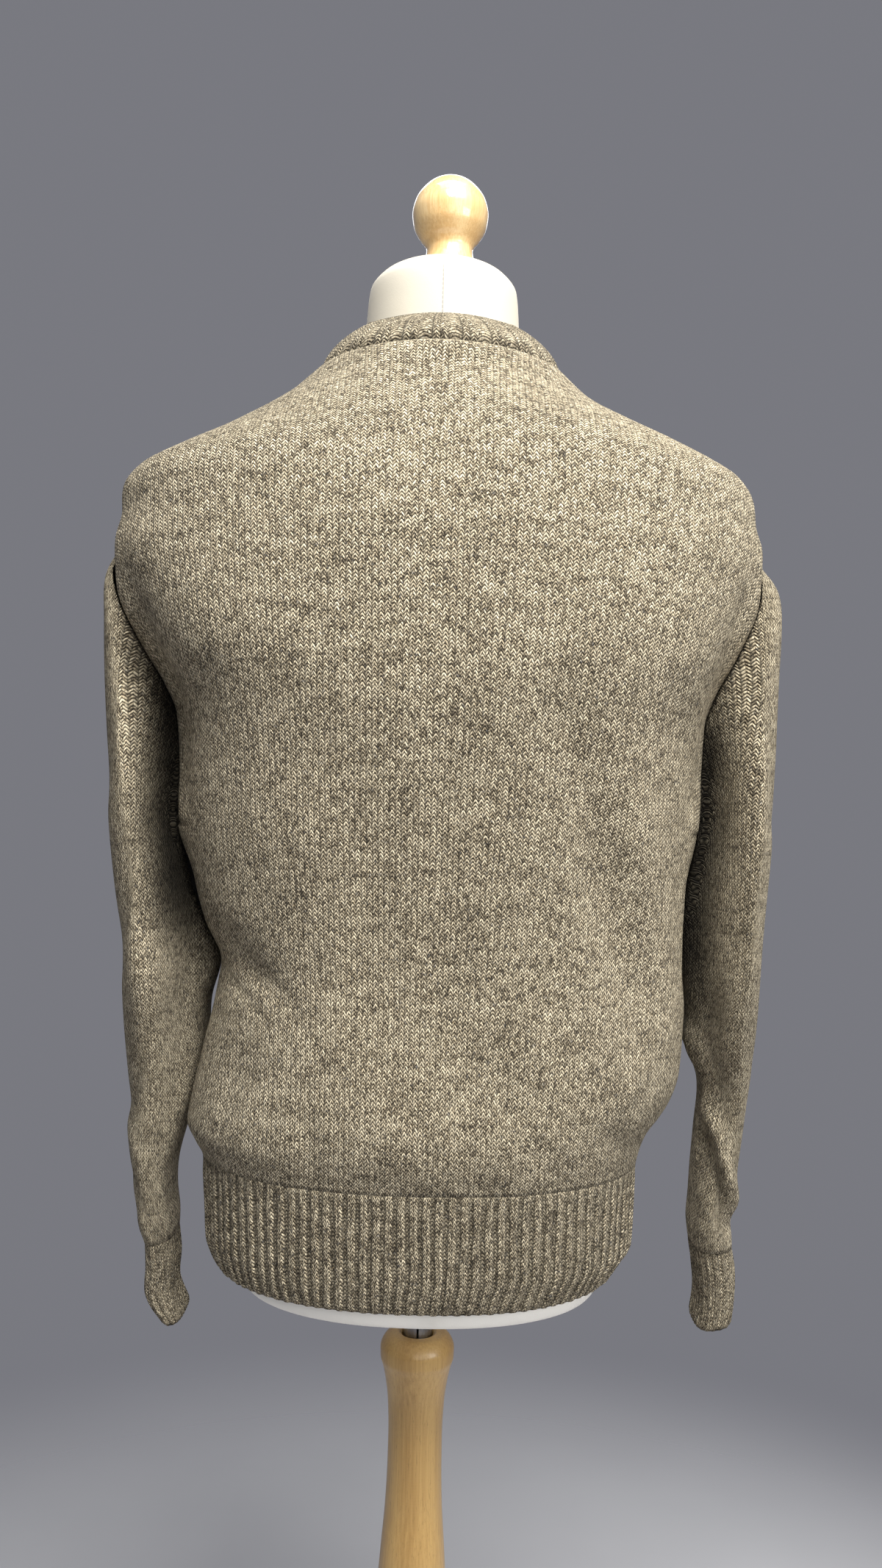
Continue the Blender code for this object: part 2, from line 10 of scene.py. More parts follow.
import bpy
import numpy as np
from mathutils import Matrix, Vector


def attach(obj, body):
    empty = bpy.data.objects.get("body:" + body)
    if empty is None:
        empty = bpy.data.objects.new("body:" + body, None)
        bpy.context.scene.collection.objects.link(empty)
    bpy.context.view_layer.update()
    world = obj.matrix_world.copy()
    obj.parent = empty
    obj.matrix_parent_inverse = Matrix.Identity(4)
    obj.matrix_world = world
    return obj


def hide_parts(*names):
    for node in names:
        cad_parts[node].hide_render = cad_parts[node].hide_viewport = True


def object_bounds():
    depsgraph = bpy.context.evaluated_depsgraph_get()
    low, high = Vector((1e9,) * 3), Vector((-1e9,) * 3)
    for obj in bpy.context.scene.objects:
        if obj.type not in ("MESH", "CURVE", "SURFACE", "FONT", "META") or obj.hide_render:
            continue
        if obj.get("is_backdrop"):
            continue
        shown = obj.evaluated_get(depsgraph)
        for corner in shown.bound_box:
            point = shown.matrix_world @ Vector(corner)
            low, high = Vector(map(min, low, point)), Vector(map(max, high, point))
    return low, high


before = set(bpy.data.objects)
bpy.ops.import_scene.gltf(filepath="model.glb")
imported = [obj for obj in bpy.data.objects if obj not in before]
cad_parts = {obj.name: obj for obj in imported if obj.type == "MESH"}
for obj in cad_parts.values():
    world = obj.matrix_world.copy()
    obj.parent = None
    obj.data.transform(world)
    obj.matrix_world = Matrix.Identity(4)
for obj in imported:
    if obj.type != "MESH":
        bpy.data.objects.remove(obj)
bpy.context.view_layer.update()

# ---------------------------------------------------------------- sizes
WALL = 0.0024
ARC_SHARE = 0.78
ROUNDNESS = 2.25
RIB_TOP = 0.812
UNDERARM = 1.066
ARMHOLE_TOP = 1.284
NECK_SEAM = 1.413
NECK_RISE = 0.011
NECK_DROP = 0.050
NECK_Y = -0.0175
NECK_RX = 0.0648
NECK_RY = 0.0630
BAND_TOP = 1.461
BAND_BACK = 1.4540
BAND_FRONT = 1.392
FORM_BOTTOM = 0.7115
AXIS_X = 0.00490
NECK_CENTRE_Y = -0.022
FINIAL_X = -0.004
ROD_R = 0.0112
ROD_WALL = 0.0018
BORE_R = 0.0118
BORE_BOTTOM = 0.600
POLE_TOP = 0.6690
BASE_R = 0.190
BASE_T = 0.028
GAP = 0.0003
ARMHOLE_HALF_Y = 0.046
SIDE_Y = -0.004

WALE = 0.0042            # width of one stitch
COURSE = 0.0028          # height of one stitch
HEM_RIBS = 52            # ribs across each panel's hem
CUFF_RIBS = 23
BAND_RIBS = 27


def table(names, *rows):
    """Columns by name from rows of numbers."""
    names = names.split()
    return {n: np.array([row[i] for row in rows], float) for i, n in enumerate(names)}


def slopes(xs, ys):
    """Slopes of a curve through points that never overshoots them."""
    h, d = np.diff(xs), np.diff(ys) / np.diff(xs)
    m = np.zeros(len(xs))
    m[0], m[-1] = d[0], d[-1]
    for k in range(1, len(xs) - 1):
        if d[k - 1] * d[k] > 0:
            w1, w2 = 2 * h[k] + h[k - 1], h[k] + 2 * h[k - 1]
            m[k] = (w1 + w2) / (w1 / d[k - 1] + w2 / d[k])
    return m


def read(tab, column, at):
    """Value of a column at a height, for a number or a whole array."""
    xs, ys = next(iter(tab.values())), tab[column]
    m = slopes(xs, ys)
    at = np.clip(np.asarray(at, float), xs[0], xs[-1])
    i = np.clip(np.searchsorted(xs, at, side="right") - 1, 0, len(xs) - 2)
    h = xs[i + 1] - xs[i]
    t = (at - xs[i]) / h
    return (ys[i] * (2 * t**3 - 3 * t**2 + 1) + h * m[i] * (t**3 - 2 * t**2 + t)
            + ys[i + 1] * (3 * t**2 - 2 * t**3) + h * m[i + 1] * (t**3 - t**2))


def ease(lo, hi, x):
    """0 below lo, 1 above hi, smooth between."""
    t = np.clip((np.asarray(x, float) - lo) / (hi - lo), 0, 1)
    return t * t * (3 - 2 * t)


BODY = table(
    "z      left   right  back   front",
    (0.727, 0.1565, 0.1482, 0.1085, 0.1040),
    (0.738, 0.1615, 0.1550, 0.1110, 0.1060),
    (0.750, 0.1655, 0.1625, 0.1125, 0.1075),
    (0.775, 0.1670, 0.1638, 0.1130, 0.1085),
    (0.800, 0.1690, 0.1645, 0.1130, 0.1095),
    (0.812, 0.1700, 0.1655, 0.1130, 0.1100),
    (0.824, 0.1760, 0.1680, 0.1165, 0.1140),
    (0.838, 0.1825, 0.1735, 0.1200, 0.1190),
    (0.850, 0.1806, 0.1820, 0.1205, 0.1205),
    (0.864, 0.1780, 0.1905, 0.1190, 0.1205),
    (0.882, 0.1740, 0.1970, 0.1160, 0.1185),
    (0.905, 0.1692, 0.1995, 0.1125, 0.1160),
    (0.932, 0.1638, 0.2010, 0.1090, 0.1140),
    (0.961, 0.1605, 0.1985, 0.1068, 0.1130),
    (0.990, 0.1738, 0.1980, 0.1072, 0.1135),
    (1.022, 0.1815, 0.1992, 0.1098, 0.1160),
    (1.066, 0.1878, 0.2036, 0.1145, 0.1205),
    (1.105, 0.1884, 0.2052, 0.1185, 0.1245),
    (1.140, 0.1896, 0.2062, 0.1220, 0.1270),
    (1.165, 0.1922, 0.2100, 0.1245, 0.1280),
    (1.196, 0.2100, 0.2205, 0.1262, 0.1275),
    (1.240, 0.2350, 0.2385, 0.1265, 0.1230),
    (1.284, 0.2560, 0.2550, 0.1245, 0.1165),
    (1.303, 0.2500, 0.2490, 0.1215, 0.1090),
    (1.323, 0.2455, 0.2445, 0.1178, 0.1015),
    (1.340, 0.2325, 0.2335, 0.1135, 0.0955),
    (1.352, 0.2095, 0.2150, 0.1100, 0.0922),
    (1.364, 0.1810, 0.1900, 0.1062, 0.0890),
    (1.376, 0.1570, 0.1585, 0.1017, 0.0862),
    (1.388, 0.1345, 0.1310, 0.0960, 0.0832),
    (1.400, 0.1150, 0.1125, 0.0892, 0.0800),
    (1.413, 0.0960, 0.0950, 0.0815, 0.0765),
    (1.424, 0.0835, 0.0830, 0.0745, 0.0740),
)
ARMHOLE = table(
    "z       left    right   hollow",
    (1.0660, 0.1960, 0.2090, 0.0),
    (1.0870, 0.1962, 0.2095, 0.5),
    (1.1090, 0.1968, 0.2102, 0.9),
    (1.1500, 0.2000, 0.2120, 1.0),
    (1.1750, 0.2105, 0.2200, 0.92),
    (1.2000, 0.2250, 0.2320, 0.62),
    (1.2440, 0.2440, 0.2475, 0.18),
    (1.2840, 0.2482, 0.2511, 0.0),
)
SLEEVE_COLUMNS = "row outer_x outer_z inner_x inner_z half_y mid_y"
SLEEVE_LEFT = table(
    SLEEVE_COLUMNS,
    (1, 0.2600, 1.238, 0.2015, 1.022, 0.060, -0.004),
    (2, 0.2604, 1.190, 0.1985, 0.998, 0.070, -0.006),
    (3, 0.2562, 1.138, 0.1925, 0.980, 0.077, -0.008),
    (4, 0.2502, 1.082, 0.1850, 0.965, 0.082, -0.009),
    (5, 0.2442, 1.025, 0.1778, 0.948, 0.083, -0.010),
    (6, 0.2385, 0.968, 0.1745, 0.925, 0.081, -0.010),
    (7, 0.2348, 0.910, 0.1765, 0.893, 0.078, -0.010),
    (8, 0.2312, 0.864, 0.1845, 0.860, 0.074, -0.010),
    (9, 0.2285, 0.820, 0.1945, 0.822, 0.068, -0.010),
    (10, 0.2238, 0.785, 0.2012, 0.787, 0.062, -0.010),
    (11, 0.2165, 0.757, 0.2005, 0.760, 0.056, -0.010),
    (12, 0.2138, 0.738, 0.1985, 0.740, 0.050, -0.010),
)
CUFF_LEFT = table(
    SLEEVE_COLUMNS,
    (1, 0.2130, 0.718, 0.1955, 0.721, 0.046, -0.010),
    (2, 0.2128, 0.694, 0.1960, 0.698, 0.044, -0.011),
    (3, 0.2065, 0.672, 0.1895, 0.676, 0.042, -0.012),
)
SLEEVE_RIGHT = table(
    SLEEVE_COLUMNS,
    (1, 0.2680, 1.250, 0.2130, 1.030, 0.060, -0.004),
    (2, 0.2702, 1.195, 0.2128, 1.002, 0.070, -0.006),
    (3, 0.2695, 1.145, 0.2110, 0.984, 0.077, -0.008),
    (4, 0.2662, 1.088, 0.2090, 0.966, 0.082, -0.009),
    (5, 0.2622, 1.035, 0.2080, 0.948, 0.083, -0.010),
    (6, 0.2580, 0.975, 0.2085, 0.925, 0.081, -0.010),
    (7, 0.2552, 0.915, 0.2128, 0.900, 0.078, -0.010),
    (8, 0.2520, 0.871, 0.2262, 0.868, 0.073, -0.010),
    (9, 0.2482, 0.826, 0.2252, 0.826, 0.067, -0.010),
    (10, 0.2440, 0.792, 0.2218, 0.791, 0.061, -0.010),
    (11, 0.2388, 0.763, 0.2196, 0.762, 0.055, -0.010),
    (12, 0.2425, 0.745, 0.2198, 0.742, 0.050, -0.010),
)
CUFF_RIGHT = table(
    SLEEVE_COLUMNS,
    (1, 0.2462, 0.724, 0.2222, 0.722, 0.046, -0.010),
    (2, 0.2462, 0.702, 0.2242, 0.700, 0.044, -0.011),
    (3, 0.2448, 0.683, 0.2215, 0.678, 0.042, -0.012),
)
# The knit is stretched across the shoulders and slack lower down.
STRETCH = table(
    "z      wide",
    (0.727, 0.00362),
    (0.905, 0.00370),
    (1.000, 0.00392),
    (1.083, 0.00413),
    (1.185, 0.00431),
    (1.312, 0.00462),
    (1.425, 0.00470),
)
# Broad folds of the body: from one point to the other across the panel, half
# width, and depth (a ridge is negative). side is 1 back, -1 front.
FOLDS = table(
    "side  x1      z1     x2      z2     width  depth",
    (1, -0.100, 1.130, -0.145, 0.965, 0.022, 0.0085),
    (1, -0.140, 1.110, -0.182, 0.935, 0.016, -0.0035),
    (1, -0.020, 0.925, -0.030, 0.840, 0.016, 0.0040),
    (1, 0.046, 1.080, 0.040, 0.965, 0.020, 0.0030),
    (1, 0.150, 0.980, 0.098, 0.938, 0.011, 0.0050),
    (1, -0.042, 0.905, -0.088, 0.835, 0.011, 0.0035),
    (-1, 0.090, 1.120, 0.135, 0.950, 0.022, 0.0080),
    (-1, 0.020, 0.940, 0.028, 0.845, 0.016, 0.0040),
    (-1, -0.060, 1.090, -0.052, 0.960, 0.020, 0.0035),
    (-1, 0.145, 0.985, 0.100, 0.935, 0.011, 0.0045),
)
# Smaller creases that only show, in the same columns.
CREASES = table(
    "side  x1      z1     x2      z2     width  depth",
    (1, 0.158, 0.958, 0.112, 0.925, 0.0060, 0.0022),
    (1, 0.160, 0.990, 0.128, 0.985, 0.0070, 0.0020),
    (1, -0.060, 0.900, -0.110, 0.850, 0.0060, 0.0020),
    (1, 0.010, 0.880, -0.012, 0.835, 0.0080, 0.0018),
    (1, 0.085, 0.870, 0.078, 0.828, 0.0090, 0.0018),
    (1, -0.120, 0.860, -0.150, 0.838, 0.0080, 0.0020),
    (1, 0.130, 0.905, 0.150, 0.850, 0.0100, 0.0022),
    (1, -0.165, 0.905, -0.140, 0.870, 0.0090, -0.0020),
    (1, 0.160, 1.190, 0.190, 1.110, 0.0120, 0.0024),
    (1, -0.165, 1.190, -0.190, 1.110, 0.0120, 0.0024),
    (-1, -0.100, 0.900, -0.060, 0.845, 0.0080, 0.0022),
    (-1, 0.100, 0.890, 0.080, 0.838, 0.0080, 0.0020),
    (-1, 0.000, 1.120, -0.010, 1.000, 0.0160, 0.0020),
    (-1, 0.160, 1.190, 0.190, 1.110, 0.0120, 0.0024),
    (-1, -0.165, 1.190, -0.190, 1.110, 0.0120, 0.0024),
)
FORM = table(
    "z        half    back    front",
    (0.7115, 0.1270, 0.0900, 0.0850),
    (0.7140, 0.1360, 0.0985, 0.0930),
    (0.7220, 0.1400, 0.1020, 0.0960),
    (0.7500, 0.1445, 0.1030, 0.0975),
    (0.8100, 0.1480, 0.1030, 0.0985),
    (0.8600, 0.1480, 0.0990, 0.0980),
    (0.9100, 0.1430, 0.0930, 0.0965),
    (0.9600, 0.1400, 0.0900, 0.0960),
    (1.0100, 0.1450, 0.0920, 0.0980),
    (1.0600, 0.1570, 0.0980, 0.1035),
    (1.1100, 0.1680, 0.1055, 0.1110),
    (1.1600, 0.1745, 0.1120, 0.1145),
    (1.2000, 0.1820, 0.1150, 0.1130),
    (1.2350, 0.1970, 0.1145, 0.1075),
    (1.2700, 0.2120, 0.1120, 0.1010),
    (1.2980, 0.2180, 0.1090, 0.0940),
    (1.3190, 0.2140, 0.1055, 0.0875),
    (1.3340, 0.2000, 0.1020, 0.0835),
    (1.3470, 0.1790, 0.0980, 0.0805),
    (1.3610, 0.1545, 0.0925, 0.0775),
    (1.3750, 0.1285, 0.0865, 0.0750),
    (1.3870, 0.1070, 0.0795, 0.0735),
    (1.3990, 0.0895, 0.0695, 0.0725),
    (1.4110, 0.0765, 0.0575, 0.0720),
    (1.4280, 0.0660, 0.0460, 0.0745),
    (1.4450, 0.0622, 0.0405, 0.0770),
    (1.4700, 0.0610, 0.0385, 0.0790),
    (1.4940, 0.0588, 0.0355, 0.0790),
    (1.5040, 0.0515, 0.0285, 0.0720),
    (1.5105, 0.0410, 0.0180, 0.0615),
    (1.5140, 0.0290, 0.0070, 0.0505),
)
FINIAL = table(
    "z        r",
    (1.5890, 0.0000), (1.5884, 0.0060), (1.5850, 0.0145), (1.5780, 0.0228),
    (1.5690, 0.0285), (1.5590, 0.0306), (1.5490, 0.0292), (1.5400, 0.0245),
    (1.5340, 0.0200), (1.5300, 0.0186), (1.5260, 0.0190), (1.5210, 0.0206),
    (1.5170, 0.0222), (1.5150, 0.0226), (1.5143, 0.0220),
)
POLE = table(
    "z        r",
    (0.6690, 0.0150), (0.6684, 0.0205), (0.6640, 0.0262), (0.6570, 0.0290),
    (0.6500, 0.0288), (0.6430, 0.0268), (0.6330, 0.0246), (0.6150, 0.0222),
    (0.5900, 0.0212), (0.5650, 0.0214), (0.5350, 0.0224), (0.5000, 0.0250),
    (0.4500, 0.0282), (0.3900, 0.0296), (0.3200, 0.0288), (0.2300, 0.0262),
    (0.1400, 0.0250), (0.0900, 0.0268), (0.0560, 0.0330), (0.0360, 0.0440),
)


# ---------------------------------------------------------------- the torso's surface
def fold(tab, side, x, z):
    """Depth of the folds at points of the back (1) or the front (-1)."""
    total = np.zeros_like(x)
    for i, s in enumerate(tab["side"]):
        if s != side:
            continue
        ax, az = tab["x1"][i], tab["z1"][i]
        bx, bz = tab["x2"][i] - ax, tab["z2"][i] - az
        length = math.hypot(bx, bz)
        t = ((x - ax) * bx + (z - az) * bz) / length**2
        across = np.abs((x - ax) * bz - (z - az) * bx) / length / tab["width"][i]
        beyond = np.maximum(0.0, np.maximum(-t, t - 1.0)) * length / (2.2 * tab["width"][i])
        taper = 0.45 + 0.55 * np.sin(np.pi * np.clip(t, 0, 1))
        total += tab["depth"][i] * taper * np.exp(-across**2 - beyond**2)
    return total


def arc(width, depth, angle, extra=0.0):
    s, c = np.sin(angle), np.cos(angle)
    p = 2 / (ROUNDNESS + extra)
    return np.stack([width * np.abs(s)**p * np.sign(s), depth * np.abs(c)**p], -1)


def unit(v):
    return v / np.maximum(np.linalg.norm(v, axis=-1, keepdims=True), 1e-12)


def pressed(z):
    """The armhole seam lies deeper half way up, in the hollow beside the body."""
    return 1 - 0.66 * read(ARMHOLE, "hollow", z)


def half_width(name, z):
    wide = read(BODY, name, z)
    if name == "left":
        wide = wide + 0.0035 * np.exp(-((z - 1.100) / 0.050)**2)
    return wide - (0.0080 if name == "left" else 0.0040) * np.exp(-((z - 1.288) / 0.024)**2)


def edge(side, name, z):
    """Where a panel ends at each height: x, y and how hollow it is before."""
    wide = half_width(name, z)
    k = np.clip((z - UNDERARM) / (ARMHOLE_TOP - UNDERARM), 0, 1)
    out = ARMHOLE_HALF_Y * np.sqrt(np.maximum(0, 1 - (2 * k - 1)**2)) * pressed(z)
    step = float(read(ARMHOLE, name, UNDERARM) - read(BODY, name, UNDERARM))
    x = np.where(z < UNDERARM, wide + step * ease(1.022, UNDERARM, z),
                 np.where(z <= ARMHOLE_TOP, read(ARMHOLE, name, z), wide))
    hollow = np.where((z > UNDERARM) & (z < ARMHOLE_TOP), read(ARMHOLE, "hollow", z), 0.0)
    return np.stack([x, side * SIDE_Y + out], -1), hollow


def body_points(side, u, z):
    """Points of the torso, u -1 (right) to 1 (left)."""
    u, z = np.broadcast_arrays(np.asarray(u, float), np.asarray(z, float))
    points = np.zeros(u.shape + (3,))
    for name, sign in (("left", 1), ("right", -1)):
        mine = (u >= 0) if sign > 0 else (u < 0)
        if not mine.any():
            continue
        a, h = np.abs(u[mine]), z[mine]
        wide, deep = half_width(name, h), read(BODY, "back" if side > 0 else "front", h)
        sunk = np.where(h < ARMHOLE_TOP, read(ARMHOLE, "hollow", h), 0.0) * ease(1.060, 1.080, h)
        leave = 1.16 + 0.16 * sunk
        square = 0.50 * np.exp(-((h - 1.195) / 0.055)**2)
        xy = arc(wide, deep, leave * np.minimum(a, ARC_SHARE) / ARC_SHARE, square)
        t = np.clip((a - ARC_SHARE) / (1 - ARC_SHARE), 0, 1)[:, None]
        p0, pm = arc(wide, deep, leave, square), arc(wide, deep, leave - 0.02, square)
        go = unit(p0 - pm)
        end, hollow = edge(side, name, h)
        reach = np.linalg.norm(end - p0, axis=-1, keepdims=True)
        hollow = hollow[:, None]
        arrive = unit(np.array([0.0, -1.0]) * (1 - hollow) + np.array([0.30, -0.95]) * hollow)
        p1 = p0 + go * reach * 0.45
        p2 = end - arrive * reach * 0.45
        turned = (p0 * (1 - t)**3 + p1 * 3 * t * (1 - t)**2 + p2 * 3 * t**2 * (1 - t) + end * t**3)
        xy = np.where(a[:, None] <= ARC_SHARE, xy, turned)
        x, y = xy[:, 0] * sign, xy[:, 1]
        fade = np.minimum(1.0, np.maximum(0.0, (1.0 - a) / 0.25))
        sink = (fold(FOLDS, side, x, h) + fold(CREASES, side, x, h)) * fade
        points[mine] = np.stack([x * (1 - sink * 1.2 / np.maximum(wide, 0.05) * a), side * (y - sink), h], -1)
    return points


def neck_height(side, u):
    if side > 0:
        return NECK_SEAM + NECK_RISE * (1 - np.abs(u)**1.3)
    return NECK_SEAM - NECK_DROP * (1 - np.abs(u)**1.15)**1.5


# ---------------------------------------------------------------- meshes
def grid_normals(p, closed, flip):
    du = np.roll(p, -1, 1) - np.roll(p, 1, 1)
    if not closed:
        du[:, 0], du[:, -1] = p[:, 1] - p[:, 0], p[:, -1] - p[:, -2]
    dv = np.gradient(p, axis=0)
    n = unit(np.cross(du, dv))
    return -n if flip else n


def lengths(p, axis):
    """Distance along the rows or columns of a grid, from its first line."""
    steps = np.linalg.norm(np.diff(p, axis=axis), axis=-1)
    zero = np.zeros_like(np.take(steps, [0], axis=axis))
    return np.concatenate([zero, np.cumsum(steps, axis=axis)], axis=axis)


def build(name, p, maps, mat, closed=False, flip=False, thick=WALL):
    """A piece from a grid of points; maps are flat coordinates by name."""
    rows, cols = p.shape[:2]
    wide = cols if closed else cols - 1
    r, c = np.meshgrid(np.arange(rows - 1), np.arange(wide), indexing="ij")
    r, c = r.ravel(), c.ravel()
    corner_r = np.stack([r, r, r + 1, r + 1], 1)
    corner_c = np.stack([c, c + 1, c + 1, c], 1)
    if flip:
        corner_r, corner_c = corner_r[:, ::-1], corner_c[:, ::-1]
    index = corner_r * cols + corner_c % cols
    data = bpy.data.meshes.new(name)
    data.vertices.add(rows * cols)
    data.vertices.foreach_set("co", p.reshape(-1).astype(np.float32))
    data.loops.add(index.size)
    data.loops.foreach_set("vertex_index", index.ravel().astype(np.int32))
    data.polygons.add(len(index))
    data.polygons.foreach_set("loop_start", np.arange(0, index.size, 4, dtype=np.int32))
    data.update(calc_edges=True)
    for label, uv in maps.items():
        layer = data.uv_layers.new(name=label)
        flat = uv[corner_r.ravel(), corner_c.ravel()]
        layer.data.foreach_set("uv", flat.reshape(-1).astype(np.float32))
    data.shade_smooth()
    data.validate()
    thing = bpy.data.objects.new(name, data)
    bpy.context.scene.collection.objects.link(thing)
    data.materials.append(mat)
    if thick:
        solid = thing.modifiers.new("wall", "SOLIDIFY")
        solid.thickness = thick
        solid.offset = -1.0
        solid.use_rim = True
    return thing


def shift(p):
    """From the form's own axis to the row frame."""
    return p + np.array([AXIS_X, 0.0, 0.0])


# ---------------------------------------------------------------- node writing
class Value:
    """A socket that arithmetic can be written with."""

    def __init__(self, graph, out):
        self.graph, self.out = graph, out

    def _m(self, op, *others):
        return self.graph.math(op, self, *others)

    def __add__(self, o): return self._m("ADD", o)
    def __radd__(self, o): return self._m("ADD", o)
    def __sub__(self, o): return self._m("SUBTRACT", o)
    def __rsub__(self, o): return self.graph.math("SUBTRACT", o, self)
    def __mul__(self, o): return self._m("MULTIPLY", o)
    def __rmul__(self, o): return self._m("MULTIPLY", o)
    def __truediv__(self, o): return self._m("DIVIDE", o)
    def floor(self): return self._m("FLOOR")
    def fract(self): return self._m("FRACT")
    def abs(self): return self._m("ABSOLUTE")
    def sin(self): return self._m("SINE")
    def cos(self): return self._m("COSINE")
    def sqrt(self): return self._m("SQRT")
    def power(self, o): return self._m("POWER", o)
    def least(self, o): return self._m("MINIMUM", o)
    def most(self, o): return self._m("MAXIMUM", o)
    def above(self, o): return self._m("GREATER_THAN", o)
    def ease(self, lo, hi):
        node = self.graph.node("ShaderNodeMapRange", interpolation_type="SMOOTHSTEP")
        for key, v in (("Value", self), ("From Min", lo), ("From Max", hi)):
            self.graph.put(node.inputs[key], v)
        return Value(self.graph, node.outputs["Result"])


class Graph:
    def __init__(self, name):
        self.mat = bpy.data.materials.new(name)
        self.mat.use_nodes = True
        self.tree = self.mat.node_tree
        self.tree.nodes.clear()
        self.out = self.node("ShaderNodeOutputMaterial")
        self.shader = self.node("ShaderNodeBsdfPrincipled")
        self.tree.links.new(self.shader.outputs["BSDF"], self.out.inputs["Surface"])

    def node(self, kind, **settings):
        made = self.tree.nodes.new(kind)
        for key, v in settings.items():
            setattr(made, key, v)
        return made

    def put(self, socket, v):
        if isinstance(v, Value):
            self.tree.links.new(v.out, socket)
        else:
            socket.default_value = v

    def set(self, name, v):
        self.put(self.shader.inputs[name], v)

    def math(self, op, *args):
        node = self.node("ShaderNodeMath", operation=op)
        for i, v in enumerate(args):
            self.put(node.inputs[i], v)
        return Value(self, node.outputs[0])

    def uv(self, name):
        node = self.node("ShaderNodeUVMap", uv_map=name)
        parts = self.node("ShaderNodeSeparateXYZ")
        self.tree.links.new(node.outputs["UV"], parts.inputs[0])
        return Value(self, parts.outputs[0]), Value(self, parts.outputs[1])

    def place(self):
        """Object coordinates, one value for each axis."""
        node = self.node("ShaderNodeTexCoord")
        parts = self.node("ShaderNodeSeparateXYZ")
        self.tree.links.new(node.outputs["Object"], parts.inputs[0])
        return [Value(self, parts.outputs[i]) for i in range(3)]

    def vector(self, x, y, z=0.0):
        node = self.node("ShaderNodeCombineXYZ")
        for i, v in enumerate((x, y, z)):
            self.put(node.inputs[i], v)
        return Value(self, node.outputs[0])

    def noise(self, vector, scale=1.0, detail=2.0, rough=0.5, distort=0.0):
        node = self.node("ShaderNodeTexNoise")
        self.put(node.inputs["Vector"], vector)
        node.inputs["Scale"].default_value = scale
        node.inputs["Detail"].default_value = detail
        node.inputs["Roughness"].default_value = rough
        node.inputs["Distortion"].default_value = distort
        return Value(self, node.outputs["Fac"])

    def white(self, x, y=0.0, z=0.0):
        node = self.node("ShaderNodeTexWhiteNoise")
        self.put(node.inputs["Vector"], self.vector(x, y, z))
        return Value(self, node.outputs["Value"])

    def mix(self, a, b, share):
        return a + (b - a) * share

    def colour(self, a, b, share, blend="MIX"):
        node = self.node("ShaderNodeMix", data_type="RGBA", blend_type=blend)
        self.put(node.inputs["Factor"], share)
        for key, v in ((6, a), (7, b)):
            if isinstance(v, Value):
                self.tree.links.new(v.out, node.inputs[key])
            else:
                node.inputs[key].default_value = (*v, 1.0)
        return Value(self, node.outputs[2])

    def bump(self, height, distance, strength=1.0, under=None):
        node = self.node("ShaderNodeBump")
        node.inputs["Strength"].default_value = strength
        node.inputs["Distance"].default_value = distance
        self.put(node.inputs["Height"], height)
        if under is not None:
            self.tree.links.new(under.out, node.inputs["Normal"])
        return Value(self, node.outputs["Normal"])


# ---------------------------------------------------------------- the yarn and its stitches
STRAW = (0.930, 0.815, 0.590)
OLIVE = (0.430, 0.355, 0.238)
SMOKE = (0.090, 0.074, 0.054)
SLATE = (0.250, 0.262, 0.275)
OCHRE = (0.560, 0.400, 0.190)


def stitch(g, s, t, slope=1.0):
    """One pair of legs, like a roof, for each whole step of s and t."""
    wale = s.floor()
    across = s - wale
    lean = (across - 0.5) * 2.0
    n = lean.abs()
    half = across.above(0.5)
    q = t + n * slope
    course = q.floor()
    f = q - course
    body = (f * math.pi).sin().most(0.0).power(1.1)
    ends = 1.0 - n.power(3.0) * 0.74 - (1.0 - n.ease(0.0, 0.34)) * 0.46
    return body * ends, wale * 2.0 + half, course, f, n


def yarn(g, leg, course, f, U, V, dark=0.0):
    """Colour of the marled yarn at a point of a stitch."""
    own = g.white(leg, course, 3.0)
    other = g.white(leg, course, 8.0)
    fibre = g.noise(g.vector(U * 1050.0, V * 760.0), 1.0, 1.0, 0.5).ease(0.34, 0.66)
    streak = g.noise(g.vector(U * 110.0, course * 0.87, 7.0), 1.0, 1.0, 0.5).ease(0.30, 0.70)
    cloud = g.noise(g.vector(U * 22.0, V * 85.0, 2.0), 1.0, 3.0, 0.6).ease(0.32, 0.70)
    grain = g.white((U * 820.0).floor(), (V * 640.0).floor(), 31.0)
    share = own * 0.40 + grain * 0.52 + fibre * 0.34 + streak * 0.16 + cloud * 0.16 + dark
    base = g.colour(STRAW, OLIVE, share.ease(0.42, 1.00))
    base = g.colour(base, SMOKE, share.ease(0.84, 1.24) * 0.92)
    slate = g.noise(g.vector(U * 420.0, V * 300.0, 11.0), 1.0, 1.0, 0.5).ease(0.62, 0.72) * 0.42
    ochre = g.noise(g.vector(U * 560.0, V * 420.0, 19.0), 1.0, 1.0, 0.5).ease(0.66, 0.74) * 0.34
    base = g.colour(g.colour(base, SLATE, slate), OCHRE, ochre)
    return g.colour((0.0, 0.0, 0.0), base, other * 0.38 + 0.62), fibre


def wool(g, base, height, fleck, distance, U, V, floor=0.13, sheen=0.10):
    fuzz = g.noise(g.vector(U * 2400.0, V * 2400.0), 1.0, 2.0, 0.7)
    # Painted shade: the yarn's colour is darkened in the grooves between the stitches' legs, down to floor of it at the
    # deepest.
    deep = (height + fuzz * 0.36 - 0.18).ease(0.02, 0.72)
    base = g.colour((0.0, 0.0, 0.0), base, deep * (1.0 - floor) + floor)
    g.set("Base Color", base)
    g.set("Roughness", 0.92)
    g.set("Specular IOR Level", 0.12)
    g.set("Sheen Weight", sheen)
    g.set("Sheen Roughness", 0.5)
    g.set("Sheen Tint", (0.96, 0.90, 0.76, 1.0))
    total = height + fleck * 0.12 + fuzz * 0.16
    g.set("Normal", g.bump(total, distance, 1.0))
    return g.mat


